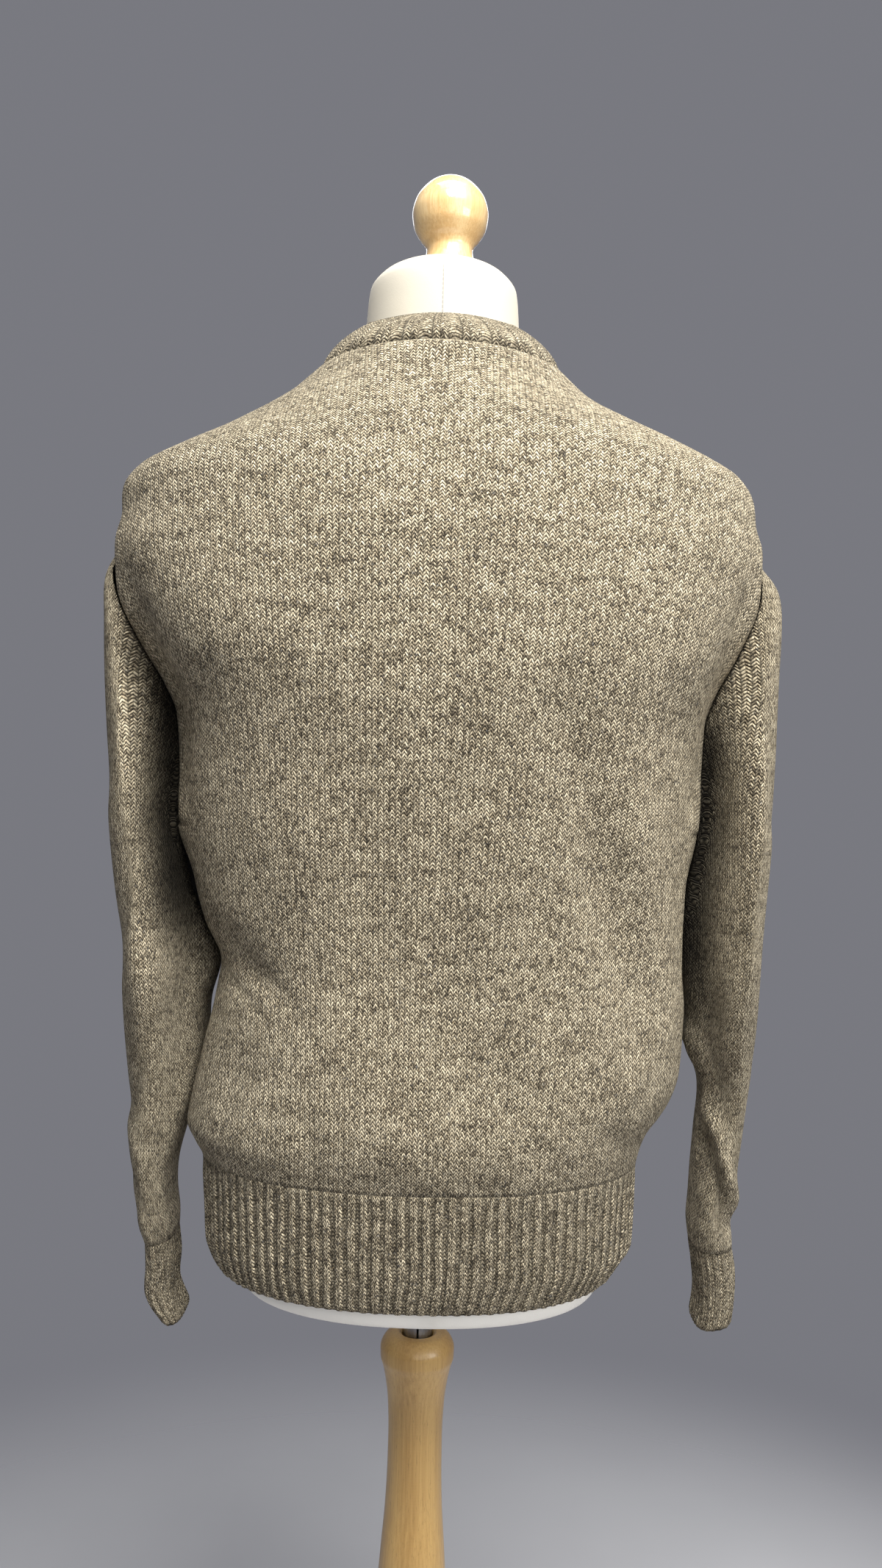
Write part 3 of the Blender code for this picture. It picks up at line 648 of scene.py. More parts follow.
def wander(g, U, V):
    """The wales and courses of a worn knit don't run quite true."""
    a = g.noise(g.vector(U * 60.0, V * 40.0, 5.0), 1.0, 1.0, 0.5)
    b = g.noise(g.vector(U * 50.0, V * 60.0, 9.0), 1.0, 1.0, 0.5)
    c = g.noise(g.vector(U * 260.0, V * 330.0, 14.0), 1.0, 0.0, 0.5)
    d = g.noise(g.vector(U * 300.0, V * 280.0, 21.0), 1.0, 0.0, 0.5)
    return (U + (a - 0.5) * 0.0012 + (c - 0.5) * 0.0004, V + (b - 0.5) * 0.0020 + (d - 0.5) * 0.0006)


def plain_knit(name):
    g = Graph(name)
    U, V = g.uv("flat")
    Uw, Vw = wander(g, U, V)
    height, leg, course, f, n = stitch(g, Uw * (1 / WALE), Vw * (1 / COURSE))
    base, fleck = yarn(g, leg, course, f, U, V)
    # The seam map carries painted shade: its first value is the distance from the neck seam, and its second is how dark
    # the painted shade is in the hollow beside the body.
    near, hollow = g.uv("seam")
    # painted shade along the crease under the neckband, darkest right at the neck seam
    base = g.colour((0.0, 0.0, 0.0), base, near.ease(0.0, 0.0050) * 0.50 + 0.50)
    # painted shade in the hollow between sleeve and body, nearly black, with the sheen taken away there as well
    base = g.colour(base, (0.0, 0.0, 0.0), hollow * 0.94)
    return wool(g, base, height, fleck, 0.0010, U, V, sheen=(1.0 - hollow) * 0.10)


def rib_knit(name, course, knit_share, groove_shade, low, crease_shade=False):
    """Two wales up, two down. The rib map counts the ribs across."""
    g = Graph(name)
    U, V = g.uv("flat")
    R, _ = g.uv("rib")
    a = g.noise(g.vector(U * 60.0, V * 40.0, 5.0), 1.0, 1.0, 0.5)
    b = g.noise(g.vector(U * 260.0, V * 330.0, 14.0), 1.0, 0.0, 0.5)
    R = R + (a - 0.5) * 0.05 + (b - 0.5) * 0.05
    phase = R.fract()
    inside = phase.ease(knit_share - 0.04, knit_share + 0.04) * (1.0 - phase.ease(0.95, 1.0))
    s_knit = R.floor() * 2.0 + phase * (2.0 / knit_share)
    d = g.noise(g.vector(U * 300.0, V * 280.0, 21.0), 1.0, 0.0, 0.5)
    t = (V + (d - 0.5) * 0.0013) * (1 / course)
    up, leg, row, f, n = stitch(g, s_knit, t, 1.0)
    # purl side: bowed bars, one above the other
    p = (phase - knit_share) * (1.0 / (1.0 - knit_share))
    bow = (p * (2.0 * math.pi)).cos() * 0.30
    bars = (t * 1.0 + bow).fract()
    purl = (bars * math.pi).sin().most(0.0).power(0.8) * ((p * math.pi).sin().most(0.0).power(0.4))
    height = g.mix(up, purl * low, inside)
    base, fleck = yarn(g, leg + inside * 0.5, row, f, U, V, 0.02)
    if crease_shade:
        # painted shade in the crease at the band's foot, darkest by the neck seam
        base = g.colour((0.0, 0.0, 0.0), base, V.ease(0.0020, 0.0105) * 0.50 + 0.26)
    # painted shade in the purl grooves between the ribs
    base = g.colour(base, (0.0, 0.0, 0.0), inside * groove_shade)
    return wool(g, base, height, fleck, 0.0012, U, V)


# the fourth number of each rib knit sets how dark the painted shade in its purl grooves is
knit = plain_knit("wool_stockinette")
# the neckband's last argument turns on the painted shade in the crease at its foot
band_knit = rib_knit("wool_neck_rib", 0.0028, 0.52, 0.10, 0.85, True)
hem_knit = rib_knit("wool_hem_rib", 0.0027, 0.64, 0.46, 0.62)
cuff_knit = rib_knit("wool_cuff_rib", 0.0027, 0.60, 0.12, 0.85)


def finish_piece(thing, node):
    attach(thing, "root")
    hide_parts(node)
    return thing


# ---------------------------------------------------------------- front and back
COLS = 151
u_line = np.linspace(-1, 1, COLS)
low_z = np.linspace(RIB_TOP, UNDERARM, 78)[:-1]
turns = np.linspace(0, math.pi, 74)
arm_z = (ARMHOLE_TOP + UNDERARM) / 2 - (ARMHOLE_TOP - UNDERARM) / 2 * np.cos(turns)
shares = np.linspace(0, 1, 52)[1:]


def flat_tables(side, z_levels, columns):
    """Distance from the centre line and up from the hem, by u and height."""
    grid = body_points(side, columns[None, :], z_levels[:, None])
    U = lengths(grid, 1)
    U = U - U[:, [len(columns) // 2]]
    V = lengths(grid, 0)
    return U, V


def lookup(tab, z_levels, columns, z, u):
    """Bilinear reading of a table over height and u."""
    i = np.clip(np.searchsorted(z_levels, z) - 1, 0, len(z_levels) - 2)
    j = np.clip(np.searchsorted(columns, u) - 1, 0, len(columns) - 2)
    a = np.clip((z - z_levels[i]) / (z_levels[i + 1] - z_levels[i]), 0, 1)
    b = np.clip((u - columns[j]) / (columns[j + 1] - columns[j]), 0, 1)
    return ((tab[i, j] * (1 - b) + tab[i, j + 1] * b) * (1 - a)
            + (tab[i + 1, j] * (1 - b) + tab[i + 1, j + 1] * b) * a)


panel_rows = {}
flats = {}
for side, word in ((1, "back"), (-1, "front")):
    z_levels = np.linspace(0.727, 1.4245, 240)
    columns = np.linspace(-1, 1, 121)
    flats[side] = (flat_tables(side, z_levels, columns), z_levels, columns)
    zs = [np.full(COLS, z) for z in low_z] + [np.full(COLS, z) for z in arm_z]
    for k in shares:
        zs.append(ARMHOLE_TOP + k * (neck_height(side, u_line) - ARMHOLE_TOP))
    z = np.array(zs)
    u = np.broadcast_to(u_line, z.shape)
    p = body_points(side, u, z)
    panel_rows[side] = p
    (U, V), zl, cl = flats[side]
    flat = np.stack([lookup(U, zl, cl, z, u), lookup(V, zl, cl, z, u)], -1)
    n = grid_normals(p, False, side > 0)
    # the panel bulges a little over the neckband and over the hem's first rows
    near_neck = np.zeros(len(zs))
    near_neck[-len(shares):] = ease(0.84, 0.975, shares) * (1 - ease(0.970, 1.0, shares) * 1.2)
    near_hem = np.exp(-((np.array([r.mean() for r in zs]) - 0.824) / 0.009)**2)
    lift = near_neck[:, None] * 0.0042 * (1 - np.abs(u)**6) + near_hem[:, None] * 0.0004 * (1 - np.abs(u)**8)
    slack = (np.sin(flat[..., 0] * 31 + 2.0 * np.sin(flat[..., 1] * 17)) * 0.0006
             + np.sin(flat[..., 1] * 44 + 1.7 * np.sin(flat[..., 0] * 23 + 1.3)) * 0.0005)
    slack *= np.minimum(1, (1 - np.abs(u)) / 0.15) * np.minimum(1, np.arange(len(zs)) / 6)[:, None] \
        * np.minimum(1, np.arange(len(zs))[::-1] / 6)[:, None]
    p = p + n * (lift + slack)[..., None]
    flat[..., 0] *= WALE / read(STRETCH, "wide", z)
    # map of painted shade: the distance down from the neck seam sets the crease's painted shade, and the panels get no
    # painted hollow shade
    seam = np.full(flat.shape, 0.05)
    seam[..., 1] = 0.0
    seam[-len(shares):, :, 0] = lengths(p, 0)[-1] - lengths(p, 0)[-len(shares):]
    thing = build("knit_" + word, shift(p), {"flat": flat, "seam": seam}, knit, flip=side > 0)
    finish_piece(thing, "body_" + word)


def rib_wave(phase, share):
    """Cross section of a rib, 1 on the raised wales and 0 in the groove."""
    x = phase % 1.0
    up = np.where(x < share, np.abs(np.sin(np.pi * x / share))**0.45, 0.0)
    dent = np.where(x < share, 0.12 * np.exp(-((x - share / 2) / 0.045)**2), 0.0)
    down = np.where(x >= share, 0.12 * np.sin(np.pi * (x - share) / (1 - share)), 0.0)
    return up - dent + down


# hem: two panels of 2x2 rib
HEM_COLS = HEM_RIBS * 9 + 1
for side, word in ((1, "back"), (-1, "front")):
    z_line = np.concatenate([[0.727, 0.7275, 0.7285, 0.730], np.linspace(0.733, RIB_TOP, 24)])
    fine_u = np.linspace(-1, 1, 721)
    p = body_points(side, fine_u[None, :], z_line[:, None])
    run = lengths(p, 1)
    even = np.zeros((len(z_line), HEM_COLS, 3))
    for i in range(len(z_line)):
        at = np.linspace(0, run[i, -1], HEM_COLS)
        for k in range(3):
            even[i, :, k] = np.interp(at, run[i], p[i, :, k])
    run_even = lengths(even, 1)
    n = grid_normals(even, False, side > 0)
    phase = np.linspace(0, HEM_RIBS, HEM_COLS)
    z = even[..., 2]
    top_fade = 1 - ease(RIB_TOP - 0.016, RIB_TOP, z)
    foot = ease(0.7268, 0.7310, z)
    depth = 0.0021 * (0.10 + 0.90 * top_fade) * (0.45 + 0.55 * foot)
    side_fade = np.minimum(1, (1 - np.abs(np.linspace(-1, 1, HEM_COLS))) / 0.01)
    sway = 0.045 * np.sin(z * 95 + 1.6 * np.sin(phase * 0.9)[None, :]) + 0.03 * np.sin(z * 210 + phase[None, :] * 2.3)
    size = 1 + 0.22 * np.sin(np.floor(phase) * 2.4)[None, :]
    wave = (rib_wave(phase[None, :] + sway, 0.66) * size - 0.62) * depth * side_fade[None, :]
    roll = -(1 - foot) * 0.0008
    even = even + n * (wave + roll)[..., None]
    U = run_even - run_even[:, [HEM_COLS // 2]]
    V = lengths(even, 0)
    rib = np.stack([phase[None, :] + sway, V], -1)
    thing = build("hem_" + word, shift(even), {"flat": np.stack([U, V], -1), "rib": rib}, hem_knit, flip=side > 0)
    finish_piece(thing, "hem_rib_" + word)


# ---------------------------------------------------------------- sleeves and cuffs
# How far the sleeve's inner side is pressed flat against the body, by ring, how
# much slimmer it is on the outside than the solid, and how much nearer to the body.
PRESS = (0.66, 0.72, 0.72, 0.68, 0.58, 0.46, 0.32, 0.16, 0.05, 0.0, 0.0, 0.0)
SLIM = (0.0045, 0.0045, 0.0040, 0.0035, 0.0030, 0.0025, 0.0020, 0.0015, 0.0, 0.0, 0.0, 0.0)
NEAR = {1: (0.0140, 0.0185, 0.0205, 0.0195, 0.0120, 0.0040, 0.0, 0.0, 0.0, 0.0, 0.0, 0.0),
        -1: (0.0100, 0.0120, 0.0108, 0.0085, 0.0060, 0.0045, 0.0040, 0.0, 0.0, 0.0, 0.0, 0.0)}


def ring(tab, i, sign, turn):
    ox, oz, ix, iz = (tab[k][i] for k in ("outer_x", "outer_z", "inner_x", "inner_z"))
    c, s = -np.cos(turn), np.sin(turn)
    low = float(1 - ease(0.86, 0.96, (oz + iz) / 2))
    deep = tab["half_y"][i] * (1 - 0.36 * low)
    ix = ix * (0.975 + deep) / (0.975 + tab["half_y"][i])
    ox = ox + 0.0020 * low
    if len(tab["row"]) == len(PRESS):
        ox = ox - SLIM[i]
    elif sign > 0 and i == 2:      # the left cuff's end curls inwards
        ox, ix = ox - 0.0085, ix - 0.0020
    c, s = np.abs(c)**(0.9 - 0.10 * low) * np.sign(c), np.abs(s)**0.66 * np.sign(s)
    if len(tab["row"]) == len(PRESS):
        s = s * (1 - PRESS[i] * ease(-0.45, 0.75, -c))
        ix = ix - NEAR[sign][i]
    return np.stack([sign * ((ox + ix) / 2 + (ox - ix) / 2 * c), tab["mid_y"][i] + deep * s,
                     (oz + iz) / 2 + (oz - iz) / 2 * c], -1)


def along(points, count_per):
    """Smooth curves through the rings, with a number of steps in each gap."""
    gaps = [np.linalg.norm(b - a, axis=-1).mean() for a, b in zip(points, points[1:])]
    tang = []
    for i in range(len(points)):
        if i == 0:
            tang.append((points[1] - points[0]) / gaps[0])
        elif i == len(points) - 1:
            tang.append((points[-1] - points[-2]) / gaps[-1])
        else:
            a, b = (points[i] - points[i - 1]) / gaps[i - 1], (points[i + 1] - points[i]) / gaps[i]
            tang.append((a * gaps[i] + b * gaps[i - 1]) / (gaps[i] + gaps[i - 1]))
    out, index = [], []
    for i in range(len(points) - 1):
        h = gaps[i]
        steps = max(2, int(round(h / count_per)))
        for k in range(steps):
            t = k / steps
            out.append(points[i] * (2 * t**3 - 3 * t**2 + 1) + tang[i] * h * (t**3 - 2 * t**2 + t)
                       + points[i + 1] * (3 * t**2 - 2 * t**3) + tang[i + 1] * h * (t**3 - t**2))
            index.append(i + t)
    out.append(points[-1])
    index.append(len(points) - 1)
    return np.array(out), np.array(index)


# Folds of the sleeves, seen from the back: from one x and z to the other, half
# width and height (a trough is negative); x counts outwards.
SLEEVE_FOLDS = {
    "left": (
        (0.2050, 0.905, 0.2260, 0.850, 0.0060, -0.0020),
        (0.2100, 1.060, 0.2350, 0.960, 0.0090, -0.0022),
        (0.2300, 1.180, 0.2480, 1.090, 0.0080, -0.0020),
        (0.2230, 0.790, 0.2060, 0.752, 0.0050, -0.0018),
        (0.2290, 0.830, 0.2120, 0.800, 0.0055, 0.0012),
    ),
    "right": (
        (0.2060, 0.905, 0.2440, 0.772, 0.0055, 0.0052),
        (0.2150, 0.830, 0.2330, 0.768, 0.0070, -0.0050),
        (0.2400, 1.185, 0.2560, 1.080, 0.0080, -0.0020),
        (0.2300, 0.985, 0.2420, 0.900, 0.0090, -0.0018),
    ),
}
SLEEVE_COLS = 144


def even_turn(tab, sign, cols):
    """Angles that space the columns nearly evenly round the sleeve."""
    fine = np.linspace(0, 2 * math.pi, 4001)
    run = lengths(np.stack([ring(tab, 4, sign, t) for t in fine])[None], 1)[0]
    both = run / run[-1] * 0.75 + fine / fine[-1] * 0.25
    return np.interp(np.linspace(0, 1, cols + 1)[:-1], both, fine)


CUFF_COLS = CUFF_RIBS * 10
for name, sign, tab, cuff in (("left", 1, SLEEVE_LEFT, CUFF_LEFT), ("right", -1, SLEEVE_RIGHT, CUFF_RIGHT)):
    for part, cols in (("sleeve", SLEEVE_COLS), ("cuff", CUFF_COLS)):
        turn = even_turn(tab, sign, cols) if part == "sleeve" else np.linspace(0, 2 * math.pi, cols + 1)[:-1]
        z0 = (ARMHOLE_TOP + UNDERARM) / 2 - (ARMHOLE_TOP - UNDERARM) / 2 * np.cos(turn)
        first = np.stack([sign * read(ARMHOLE, name, z0), SIDE_Y + ARMHOLE_HALF_Y * np.sin(turn) * pressed(z0), z0], -1)
        rings = [first] + [ring(tab, i, sign, turn) for i in range(len(tab["row"]))]
        rings += [ring(cuff, i, sign, turn) for i in range(len(cuff["row"]))]
        whole, index = along(rings, 0.0036 if part == "sleeve" else 0.0030)
        joint = len(tab["row"])
        p = whole[index <= joint] if part == "sleeve" else whole[index >= joint]
        if part == "sleeve":    # fullness just below the shoulder point
            full = (0.0034 if sign > 0 else 0.0018) * np.exp(-((p[..., 2] - 1.256) / 0.022)**2)
            p[..., 0] += sign * full * ease(0.0, 0.8, -np.cos(turn))[None, :] * (1 - ease(1.262, 1.285, p[..., 2]))
        if part == "cuff":      # even spacing round, so that the ribs are alike
            closed = np.concatenate([p, p[:, :1]], 1)
            run = lengths(closed, 1)
            for i in range(len(p)):
                at = np.linspace(0, run[i, -1], cols + 1)[:-1]
                for k in range(3):
                    p[i, :, k] = np.interp(at, run[i], closed[i, :, k])
        n = grid_normals(p, True, sign < 0)
        closed = np.concatenate([p, p[:, :1]], 1)
        step = np.linalg.norm(np.diff(closed[..., :2], axis=1), axis=-1)
        run = np.concatenate([np.zeros((len(p), 1)), np.cumsum(step, 1)], 1)
        down = lengths(closed, 0)
        U = run - run[:, [cols // 2]]
        V = down[-1:, :] - down
        if part == "sleeve":    # wales run down the sleeve, alike on its two faces
            c_all = -np.cos(np.append(turn, turn[0]))[None, :]
            reach_y = np.abs(closed[..., 1] - SIDE_Y)
            gone = reach_y.max(1)[:, None] - reach_y
            U = (closed[..., 0] * sign - 0.206 - (closed[..., 2] - 0.74) * 0.056) + (ease(-0.6, 0.6, c_all) * 2 - 1) * gone
            V = closed[..., 2] - closed[-1, :, 2].mean()
        fr = np.linspace(0, 1, len(p))[:, None]
        if part == "sleeve":
            wob = (np.sin(U[:, :-1] * 29 + 3 * fr * 4.1 + sign) * 0.0010
                   + np.sin(V[:, :-1] * 37 + 2.2 * np.sin(U[:, :-1] * 19)) * 0.0009)
            wob *= np.minimum(1, fr / 0.06) * np.minimum(1, (1 - fr) / 0.04)
            blouse = np.exp(-((V[:, :-1] - 0.012) / 0.011)**2) * 0.0016
            p = p + n * (wob + blouse)[..., None]
            for x1, z1, x2, z2, wide, high in SLEEVE_FOLDS[name]:
                run_x, run_z = x2 - x1, z2 - z1
                size = math.hypot(run_x, run_z)
                px, pz = p[..., 0] * sign - x1, p[..., 2] - z1
                t = (px * run_x + pz * run_z) / size**2
                off = (px * run_z - pz * run_x) / size
                ends = np.maximum(0.0, np.maximum(-t, t - 1.0)) * size / 0.014
                amount = high * np.exp(-(off / wide)**2 - ends**2) * ease(-0.010, 0.012, p[..., 1])
                p = p + n * amount[..., None]
            # painted shade: the sleeve's inner side next to the body, between these heights, is marked to be darkened
            # as the hollow's shade
            seam = np.full(U.shape + (2,), 0.05)
            high, body_x = p[..., 2], read(BODY, name, np.clip(p[..., 2], 0.73, 1.28))
            wide, top, low = (0.047, 1.235, 0.940) if sign > 0 else (0.031, 1.200, 0.900)
            beside = 1 - ease(0.30, 1.0, (p[..., 0] * sign - body_x) / wide)
            dark = beside * (1 - ease(top - 0.075, top, high)) * ease(low - 0.05, low + 0.08, high)
            seam[:, :-1, 1], seam[:, -1, 1] = dark, dark[:, 0]
            thing = build("knit_sleeve_" + name, shift(p), {"flat": np.stack([U, V], -1), "seam": seam}, knit, closed=True,
                          flip=sign < 0)
            finish_piece(thing, "sleeve_" + name)
        else:
            phase = np.linspace(0, CUFF_RIBS, cols + 1)
            top = ease(0.0, 0.10, fr)
            end = 1 - ease(0.955, 1.0, fr)
            sway = 0.07 * np.sin(V[:, :-1] * 120 + 1.4 * np.sin(phase[:-1] * 1.3)[None, :])
            wave = (rib_wave(phase[:-1][None, :] + sway, 0.60) - 0.62) * 0.0012 * (0.15 + 0.85 * top) * (0.45 + 0.55 * end)
            p = p + n * (wave - (1 - end) * 0.0007)[..., None]
            rib = np.stack([np.broadcast_to(phase, U.shape), V], -1)
            thing = build("rib_cuff_" + name, shift(p), {"flat": np.stack([U, V], -1), "rib": rib}, cuff_knit,
                          closed=True, flip=sign < 0)
            finish_piece(thing, "cuff_" + name)

# ---------------------------------------------------------------- neckband
fine_u = np.linspace(-1, 1, 601)
seam_back = body_points(1, fine_u, neck_height(1, fine_u))
seam_front = body_points(-1, fine_u, neck_height(-1, fine_u))
loop = np.concatenate([seam_back, seam_front[1:-1][::-1]])
closed = np.concatenate([loop, loop[:1]])
run = lengths(closed[None], 1)[0]
BAND_COLS = BAND_RIBS * 16
at = np.linspace(0, run[-1], BAND_COLS + 1)[:-1]
seam = np.stack([np.interp(at, run, closed[:, k]) for k in range(3)], -1)
turn = np.arctan2(seam[:, 0] / 0.0955, (seam[:, 1] - NECK_Y) / 0.085)
c, s = np.cos(turn), np.sin(turn)
top_z = np.where(c > 0, BAND_BACK + (BAND_TOP - BAND_BACK) * np.abs(s)**6,
                 BAND_TOP - (BAND_TOP - BAND_FRONT) * np.abs(c)**1.7)
top = np.stack([NECK_RX * s, NECK_Y + NECK_RY * c, top_z], -1)
out = unit(np.stack([s, c, np.full_like(s, 0.6)], -1))
lifts = np.concatenate([[-0.06], np.linspace(0, 1, 15), [1.04, 1.06, 1.06, 1.02]])
inward = np.concatenate([np.zeros(16), [0.0006, 0.0016, 0.0028, 0.0034]])
rows = []
for lift, back in zip(lifts, inward):
    mid = seam * (1 - lift) + top * lift
    k = min(1, max(0, lift))
    belly = 0.0062 * np.sin(np.pi * k**0.80)**0.8 - 0.0016 * math.exp(-(lift / 0.10)**2)
    flat_out = unit(np.stack([s, c, np.zeros_like(s)], -1))
    rows.append(mid + out * belly - flat_out * back)
p = np.array(rows)
n = grid_normals(p, True, True)
phase = np.linspace(0, BAND_RIBS, BAND_COLS + 1)
fr = np.clip(lifts, 0, 1)[:, None]
depth = 0.0006 * (0.35 + 0.65 * ease(0.0, 0.2, fr)) * (1 - 0.5 * ease(0.8, 1.0, fr))
p = p + n * ((rib_wave(phase[:-1], 0.52)[None, :] - 0.55) * depth)[..., None]
closed = np.concatenate([p, p[:, :1]], 1)
U = np.broadcast_to(np.linspace(0, run[-1], BAND_COLS + 1), (len(p), BAND_COLS + 1))
V = lengths(closed, 0)
rib = np.stack([np.broadcast_to(phase, U.shape), V], -1)
band = build("rib_neckband", shift(p), {"flat": np.stack([U, V], -1), "rib": rib}, band_knit, closed=True, flip=True,
             thick=0.0018)
finish_piece(band, "neckband")


# ---------------------------------------------------------------- dress form
def jersey():
    g = Graph("cream_jersey")
    x, y, z = g.place()
    weave = g.noise(g.vector(x * 1500.0, y * 1500.0, z * 900.0), 1.0, 2.0, 0.6)
    wear = g.noise(g.vector(x * 9.0, y * 9.0, z * 14.0), 1.0, 3.0, 0.55)
    # painted light: the downward-facing lower rim of the cover is made far paler than the rest
    tone_and_painted_rim_light = g.colour((0.95, 0.93, 0.87), (0.545, 0.505, 0.415), z.ease(0.735, 0.765))
    base = g.colour(tone_and_painted_rim_light, (0.50, 0.47, 0.40), 0.6 * wear.ease(0.42, 0.75))
    # sewn line down the middle of the neck's back
    line = (x - (AXIS_X + 0.0008)).abs()
    on = (1.0 - line.ease(0.0002, 0.0009)) * y.above(0.0) * z.above(1.20)
    dash = ((z * (1.0 / 0.0036)).fract() - 0.5).abs().ease(0.12, 0.22)
    base = g.colour(base, (0.30, 0.30, 0.30), on * dash * 0.75)
    g.set("Base Color", base)
    g.set("Roughness", 0.85)
    g.set("Sheen Weight", 0.12)
    g.set("Normal", g.bump(weave * 0.3 - on * 1.2, 0.0006, 0.6))
    return g.mat


FORM_COLS = 160
zs = np.concatenate([np.linspace(a, b, 6)[:-1] for a, b in zip(FORM["z"], FORM["z"][1:])] + [[FORM["z"][-1]]])
a = np.linspace(0, 2 * math.pi, FORM_COLS + 1)[:-1]
s, c = np.sin(a), np.cos(a)
rows = [np.stack([np.zeros(FORM_COLS), np.zeros(FORM_COLS), np.full(FORM_COLS, zs[0])], -1)]
for z in zs:
    wide, back, front = (float(read(FORM, k, z)) for k in ("half", "back", "front"))
    soft = float(ease(1.385, 1.402, z))
    power = 2 / 2.25 * (1 - soft) + soft
    x = wide * np.abs(s)**power * np.sign(s)
    y1 = np.where(c >= 0, back, front) * np.abs(c)**power * np.sign(c)
    y2 = (back - front) / 2 + (back + front) / 2 * c
    rows.append(np.stack([x, y1 * (1 - soft) + y2 * soft, np.full(FORM_COLS, z)], -1))
last = rows[-1]
rows.append(np.stack([last[:, 0] * 0.02, (last[:, 1] - NECK_CENTRE_Y) * 0.02 + NECK_CENTRE_Y, last[:, 2] + 0.0001], -1))
p = np.array(rows)
none = np.zeros((len(p), FORM_COLS + 1, 2))
form = build("form_cover", shift(p), {"flat": none}, jersey(), closed=True, flip=True, thick=0)
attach(form, "root")
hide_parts("form_torso")


# ---------------------------------------------------------------- turned wood and steel
def wood(name, pale, brown, gloss, coat):
    g = Graph(name)
    x, y, z = g.place()
    x = x - AXIS_X
    warp = g.noise(g.vector(x * 14.0, y * 14.0, z * 2.2), 1.0, 2.0, 0.5)
    grain = g.noise(g.vector(x * 620.0 + warp * 9.0, y * 620.0, z * 9.0), 1.0, 3.0, 0.6)
    pores = g.noise(g.vector(x * 1900.0, y * 1900.0, z * 110.0), 1.0, 2.0, 0.6).ease(0.60, 0.70)
    bands = ((x * 60.0 + warp * 3.5 + z * 1.4) * (2 * math.pi * 0.5)).sin() * 0.5 + 0.5
    share = (grain * 0.75 + bands * 0.25 + warp * 0.25 - 0.15).ease(0.15, 0.85)
    base = g.colour(pale, brown, share)
    base = g.colour(base, tuple(v * 0.45 for v in brown), pores * 0.45)
    g.set("Base Color", base)
    g.set("Roughness", gloss)
    g.set("Coat Weight", coat)
    g.set("Coat Roughness", 0.06 if coat > 0.6 else 0.2)
    turning = ((z * (2 * math.pi / 0.0011)).sin() * 0.5 + 0.5) * 0.35
    g.set("Normal", g.bump(grain * 0.5 - pores * 0.5 + turning, 0.00012, 0.5))
    return g.mat


def lathe(name, profile, mat, node, spot=(0.0, 0.0), cols=112):
    """A turned piece; the profile runs down its outer side."""
    r, z = np.array([q[0] for q in profile]), np.array([q[1] for q in profile])
    a = np.linspace(0, 2 * math.pi, cols + 1)[:-1]
    p = np.stack([r[:, None] * np.sin(a)[None, :] + spot[0], r[:, None] * np.cos(a)[None, :] + spot[1],
                  np.repeat(z[:, None], cols, 1)], -1)
    none = np.zeros((len(r), cols + 1, 2))
    thing = build(name, shift(p), {"flat": none}, mat, closed=True, flip=False, thick=0)
    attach(thing, "root")
    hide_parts(node)
    return thing


def smooth_profile(tab, steps=7):
    """The turned outline with more points, through the same ones."""
    r, z = tab["r"], tab["z"]
    run = np.concatenate([[0], np.cumsum(np.hypot(np.diff(r), np.diff(z)))])
    mr, mz = slopes(run, r), slopes(run, z)
    fine = np.concatenate([np.linspace(p, q, steps + 1)[:-1] for p, q in zip(run, run[1:])] + [[run[-1]]])
    i = np.clip(np.searchsorted(run, fine, side="right") - 1, 0, len(run) - 2)
    h = run[i + 1] - run[i]
    t = (fine - run[i]) / h

    def curve(v, m):
        return (v[i] * (2 * t**3 - 3 * t**2 + 1) + h * m[i] * (t**3 - 2 * t**2 + t)
                + v[i + 1] * (3 * t**2 - 2 * t**3) + h * m[i + 1] * (t**3 - t**2))

    return list(zip(curve(r, mr), curve(z, mz)))


ball = wood("varnished_beech", (0.80, 0.60, 0.32), (0.62, 0.38, 0.15), 0.28, 1.0)
pole_wood = wood("turned_beech", (0.56, 0.36, 0.130), (0.36, 0.205, 0.062), 0.38, 0.35)
foot_wood = wood("foot_beech", (0.46, 0.30, 0.12), (0.28, 0.16, 0.055), 0.42, 0.3)
outline = smooth_profile(FINIAL) + [(0.0, FINIAL["z"][-1])]
lathe("ball_finial", outline, ball, "neck_finial", (FINIAL_X, NECK_CENTRE_Y))
outline = [(0.0, BORE_BOTTOM), (BORE_R, BORE_BOTTOM), (BORE_R, POLE_TOP - 0.004), (0.0122, POLE_TOP - 0.002),
           (0.0136, POLE_TOP - 0.0008)] + smooth_profile(POLE) + [(0.0470, BASE_T + GAP), (0.0, BASE_T + GAP)]
lathe("turned_pole", outline, pole_wood, "pole")
outline = [(0.0, BASE_T), (0.060, BASE_T), (0.120, BASE_T - 0.0018), (BASE_R - 0.010, BASE_T - 0.004),
           (BASE_R - 0.006, BASE_T - 0.0060), (BASE_R - 0.003, BASE_T - 0.009), (BASE_R - 0.001, BASE_T - 0.012),
           (BASE_R, BASE_T - 0.015), (BASE_R, 0.003), (BASE_R - 0.001, 0.0012), (BASE_R - 0.003, 0.0), (0.0, 0.0)]
lathe("round_foot", outline, foot_wood, "base", cols=160)


def steel():
    g = Graph("zinc_plate")
    x, y, z = g.place()
    lines = g.noise(g.vector(x * 900.0, y * 900.0, z * 16.0), 1.0, 2.0, 0.6)
    spots = g.noise(g.vector(x * 160.0, y * 160.0, z * 160.0), 1.0, 3.0, 0.6)
    g.set("Base Color", g.colour((0.46, 0.47, 0.50), (0.30, 0.31, 0.33), spots.ease(0.4, 0.75)))
    g.set("Metallic", 1.0)
    g.set("Roughness", g.mix(lines * 0.2 + 0.24, 0.55, spots.ease(0.55, 0.8)))
    g.set("Normal", g.bump(lines, 0.0002, 0.3))
    return g.mat


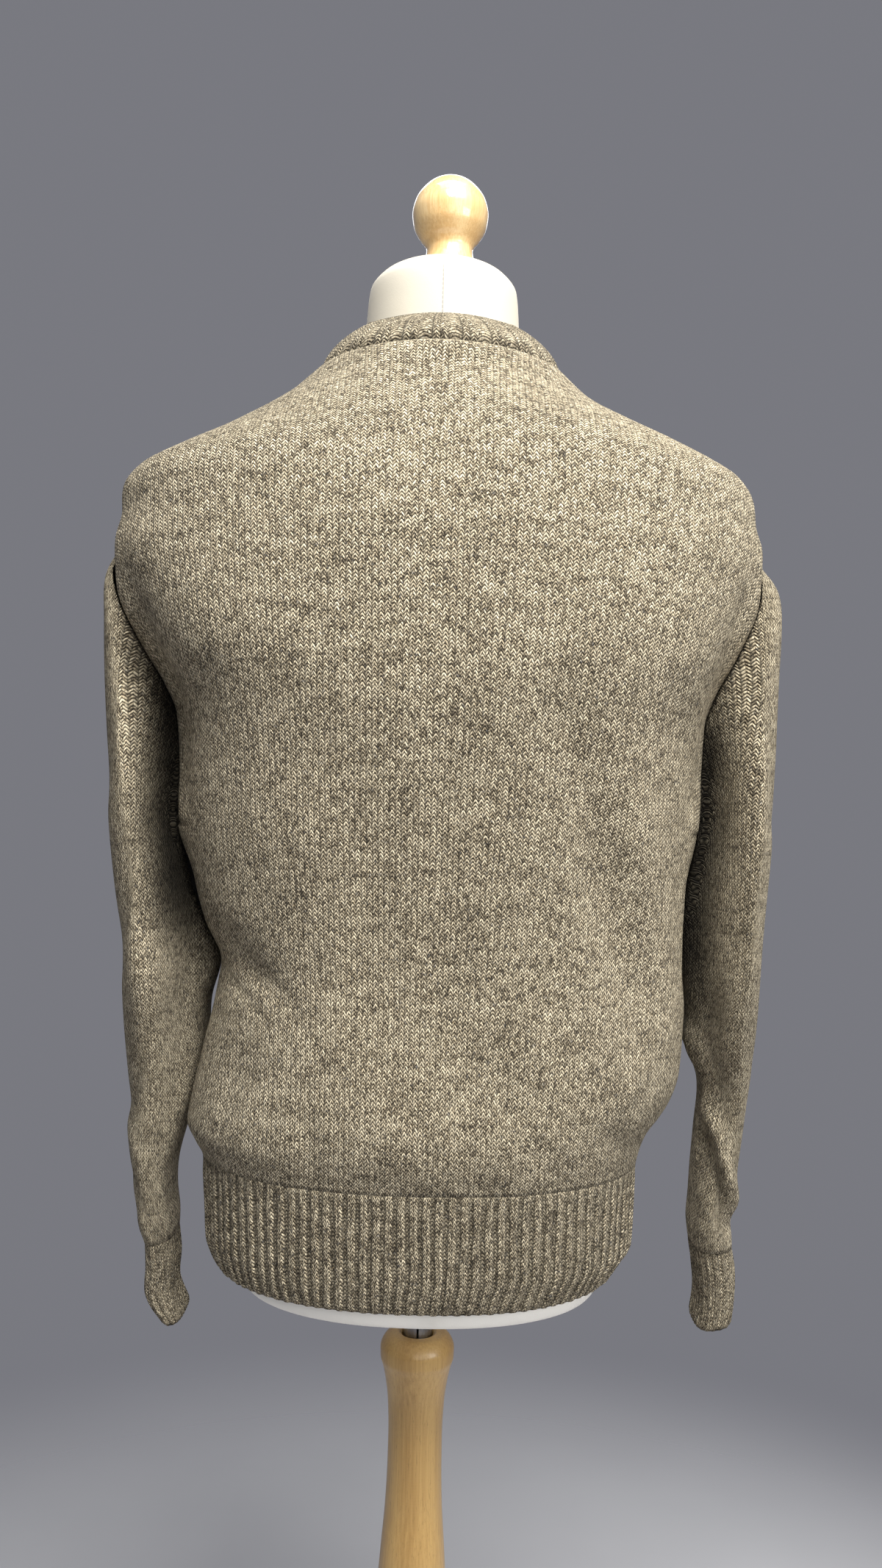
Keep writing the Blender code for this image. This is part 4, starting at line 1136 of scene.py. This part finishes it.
zinc = steel()
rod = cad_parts["steel_rod"]
for i in range(len(rod.material_slots)):
    rod.material_slots[i].material = zinc

# ---------------------------------------------------------------- studio
scene = bpy.context.scene
scene.view_settings.view_transform = "Standard"
scene.view_settings.look = "None"
world = bpy.data.worlds.new("studio")
scene.world = world
world.use_nodes = True
world.node_tree.nodes["Background"].inputs[0].default_value = (0.190, 0.192, 0.215, 1.0)
world.node_tree.nodes["Background"].inputs[1].default_value = 1.0


def studio_floor():
    g = Graph("pale_floor")
    x, y, z = g.place()
    far = (x * x + y * y).sqrt()
    tone = g.noise(g.vector(x * 6.0, y * 6.0, 0.0), 1.0, 2.0, 0.5)
    g.set("Base Color", g.colour((0.50, 0.505, 0.525), (0.46, 0.465, 0.485), tone))
    g.set("Roughness", 0.9)
    g.set("Alpha", 1.0 - far.ease(0.75, 1.5))
    return g.mat


r = np.linspace(0.0, 1.6, 17)
a = np.linspace(0, 2 * math.pi, 97)[:-1]
p = np.stack([r[:, None] * np.cos(a), r[:, None] * np.sin(a), np.zeros((17, 96))], -1)
floor = build("floor", p, {"flat": np.zeros((17, 97, 2))}, studio_floor(), closed=True, flip=True, thick=0)
floor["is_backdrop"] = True


def area_light(name, spot, aim, size, power, colour=(1, 1, 1)):
    lamp = bpy.data.lights.new(name, "AREA")
    lamp.shape = "RECTANGLE"
    lamp.size, lamp.size_y = size
    lamp.energy = power
    lamp.color = colour
    thing = bpy.data.objects.new(name, lamp)
    thing.location = spot
    from mathutils import Vector
    thing.rotation_euler = (Vector(aim) - Vector(spot)).to_track_quat("-Z", "Y").to_euler()
    scene.collection.objects.link(thing)


area_light("key", (-0.34, 1.05, 2.70), (0.0, 0.0, 1.30), (1.2, 0.8), 79.0, (1.0, 0.98, 0.94))
area_light("fill", (-0.50, 2.40, 1.60), (0.0, 0.0, 1.10), (1.8, 1.4), 13.0, (1.0, 0.98, 0.95))
area_light("top", (0.0, 0.20, 2.75), (0.0, 0.0, 1.3), (1.0, 0.8), 10.0, (1.0, 0.99, 0.96))
area_light("side", (-1.5, 1.3, 1.4), (-0.22, 0.0, 0.86), (0.8, 0.8), 13.0, (1.0, 0.98, 0.95))
area_light("front", (0.0, -2.0, 2.9), (0.0, 0.0, 1.0), (1.8, 1.2), 14.0, (0.98, 0.98, 1.0))

# camera at the photograph's height and distance, with its slight roll
FOCAL, TALL = 1664.0, 2133.0
camera = bpy.data.objects.new("camera", bpy.data.cameras.new("camera"))
camera.data.lens = 36.0 * FOCAL / TALL
camera.data.sensor_width = 36.0
camera.data.clip_start, camera.data.clip_end = 0.05, 50.0
camera.data.shift_x = 13.16 / TALL
camera.location = (AXIS_X, 0.965, 1.10)
roll = math.radians(-1.43)
camera.rotation_euler = (math.pi / 2, roll, math.pi)
scene.collection.objects.link(camera)
scene.camera = camera

low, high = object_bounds()
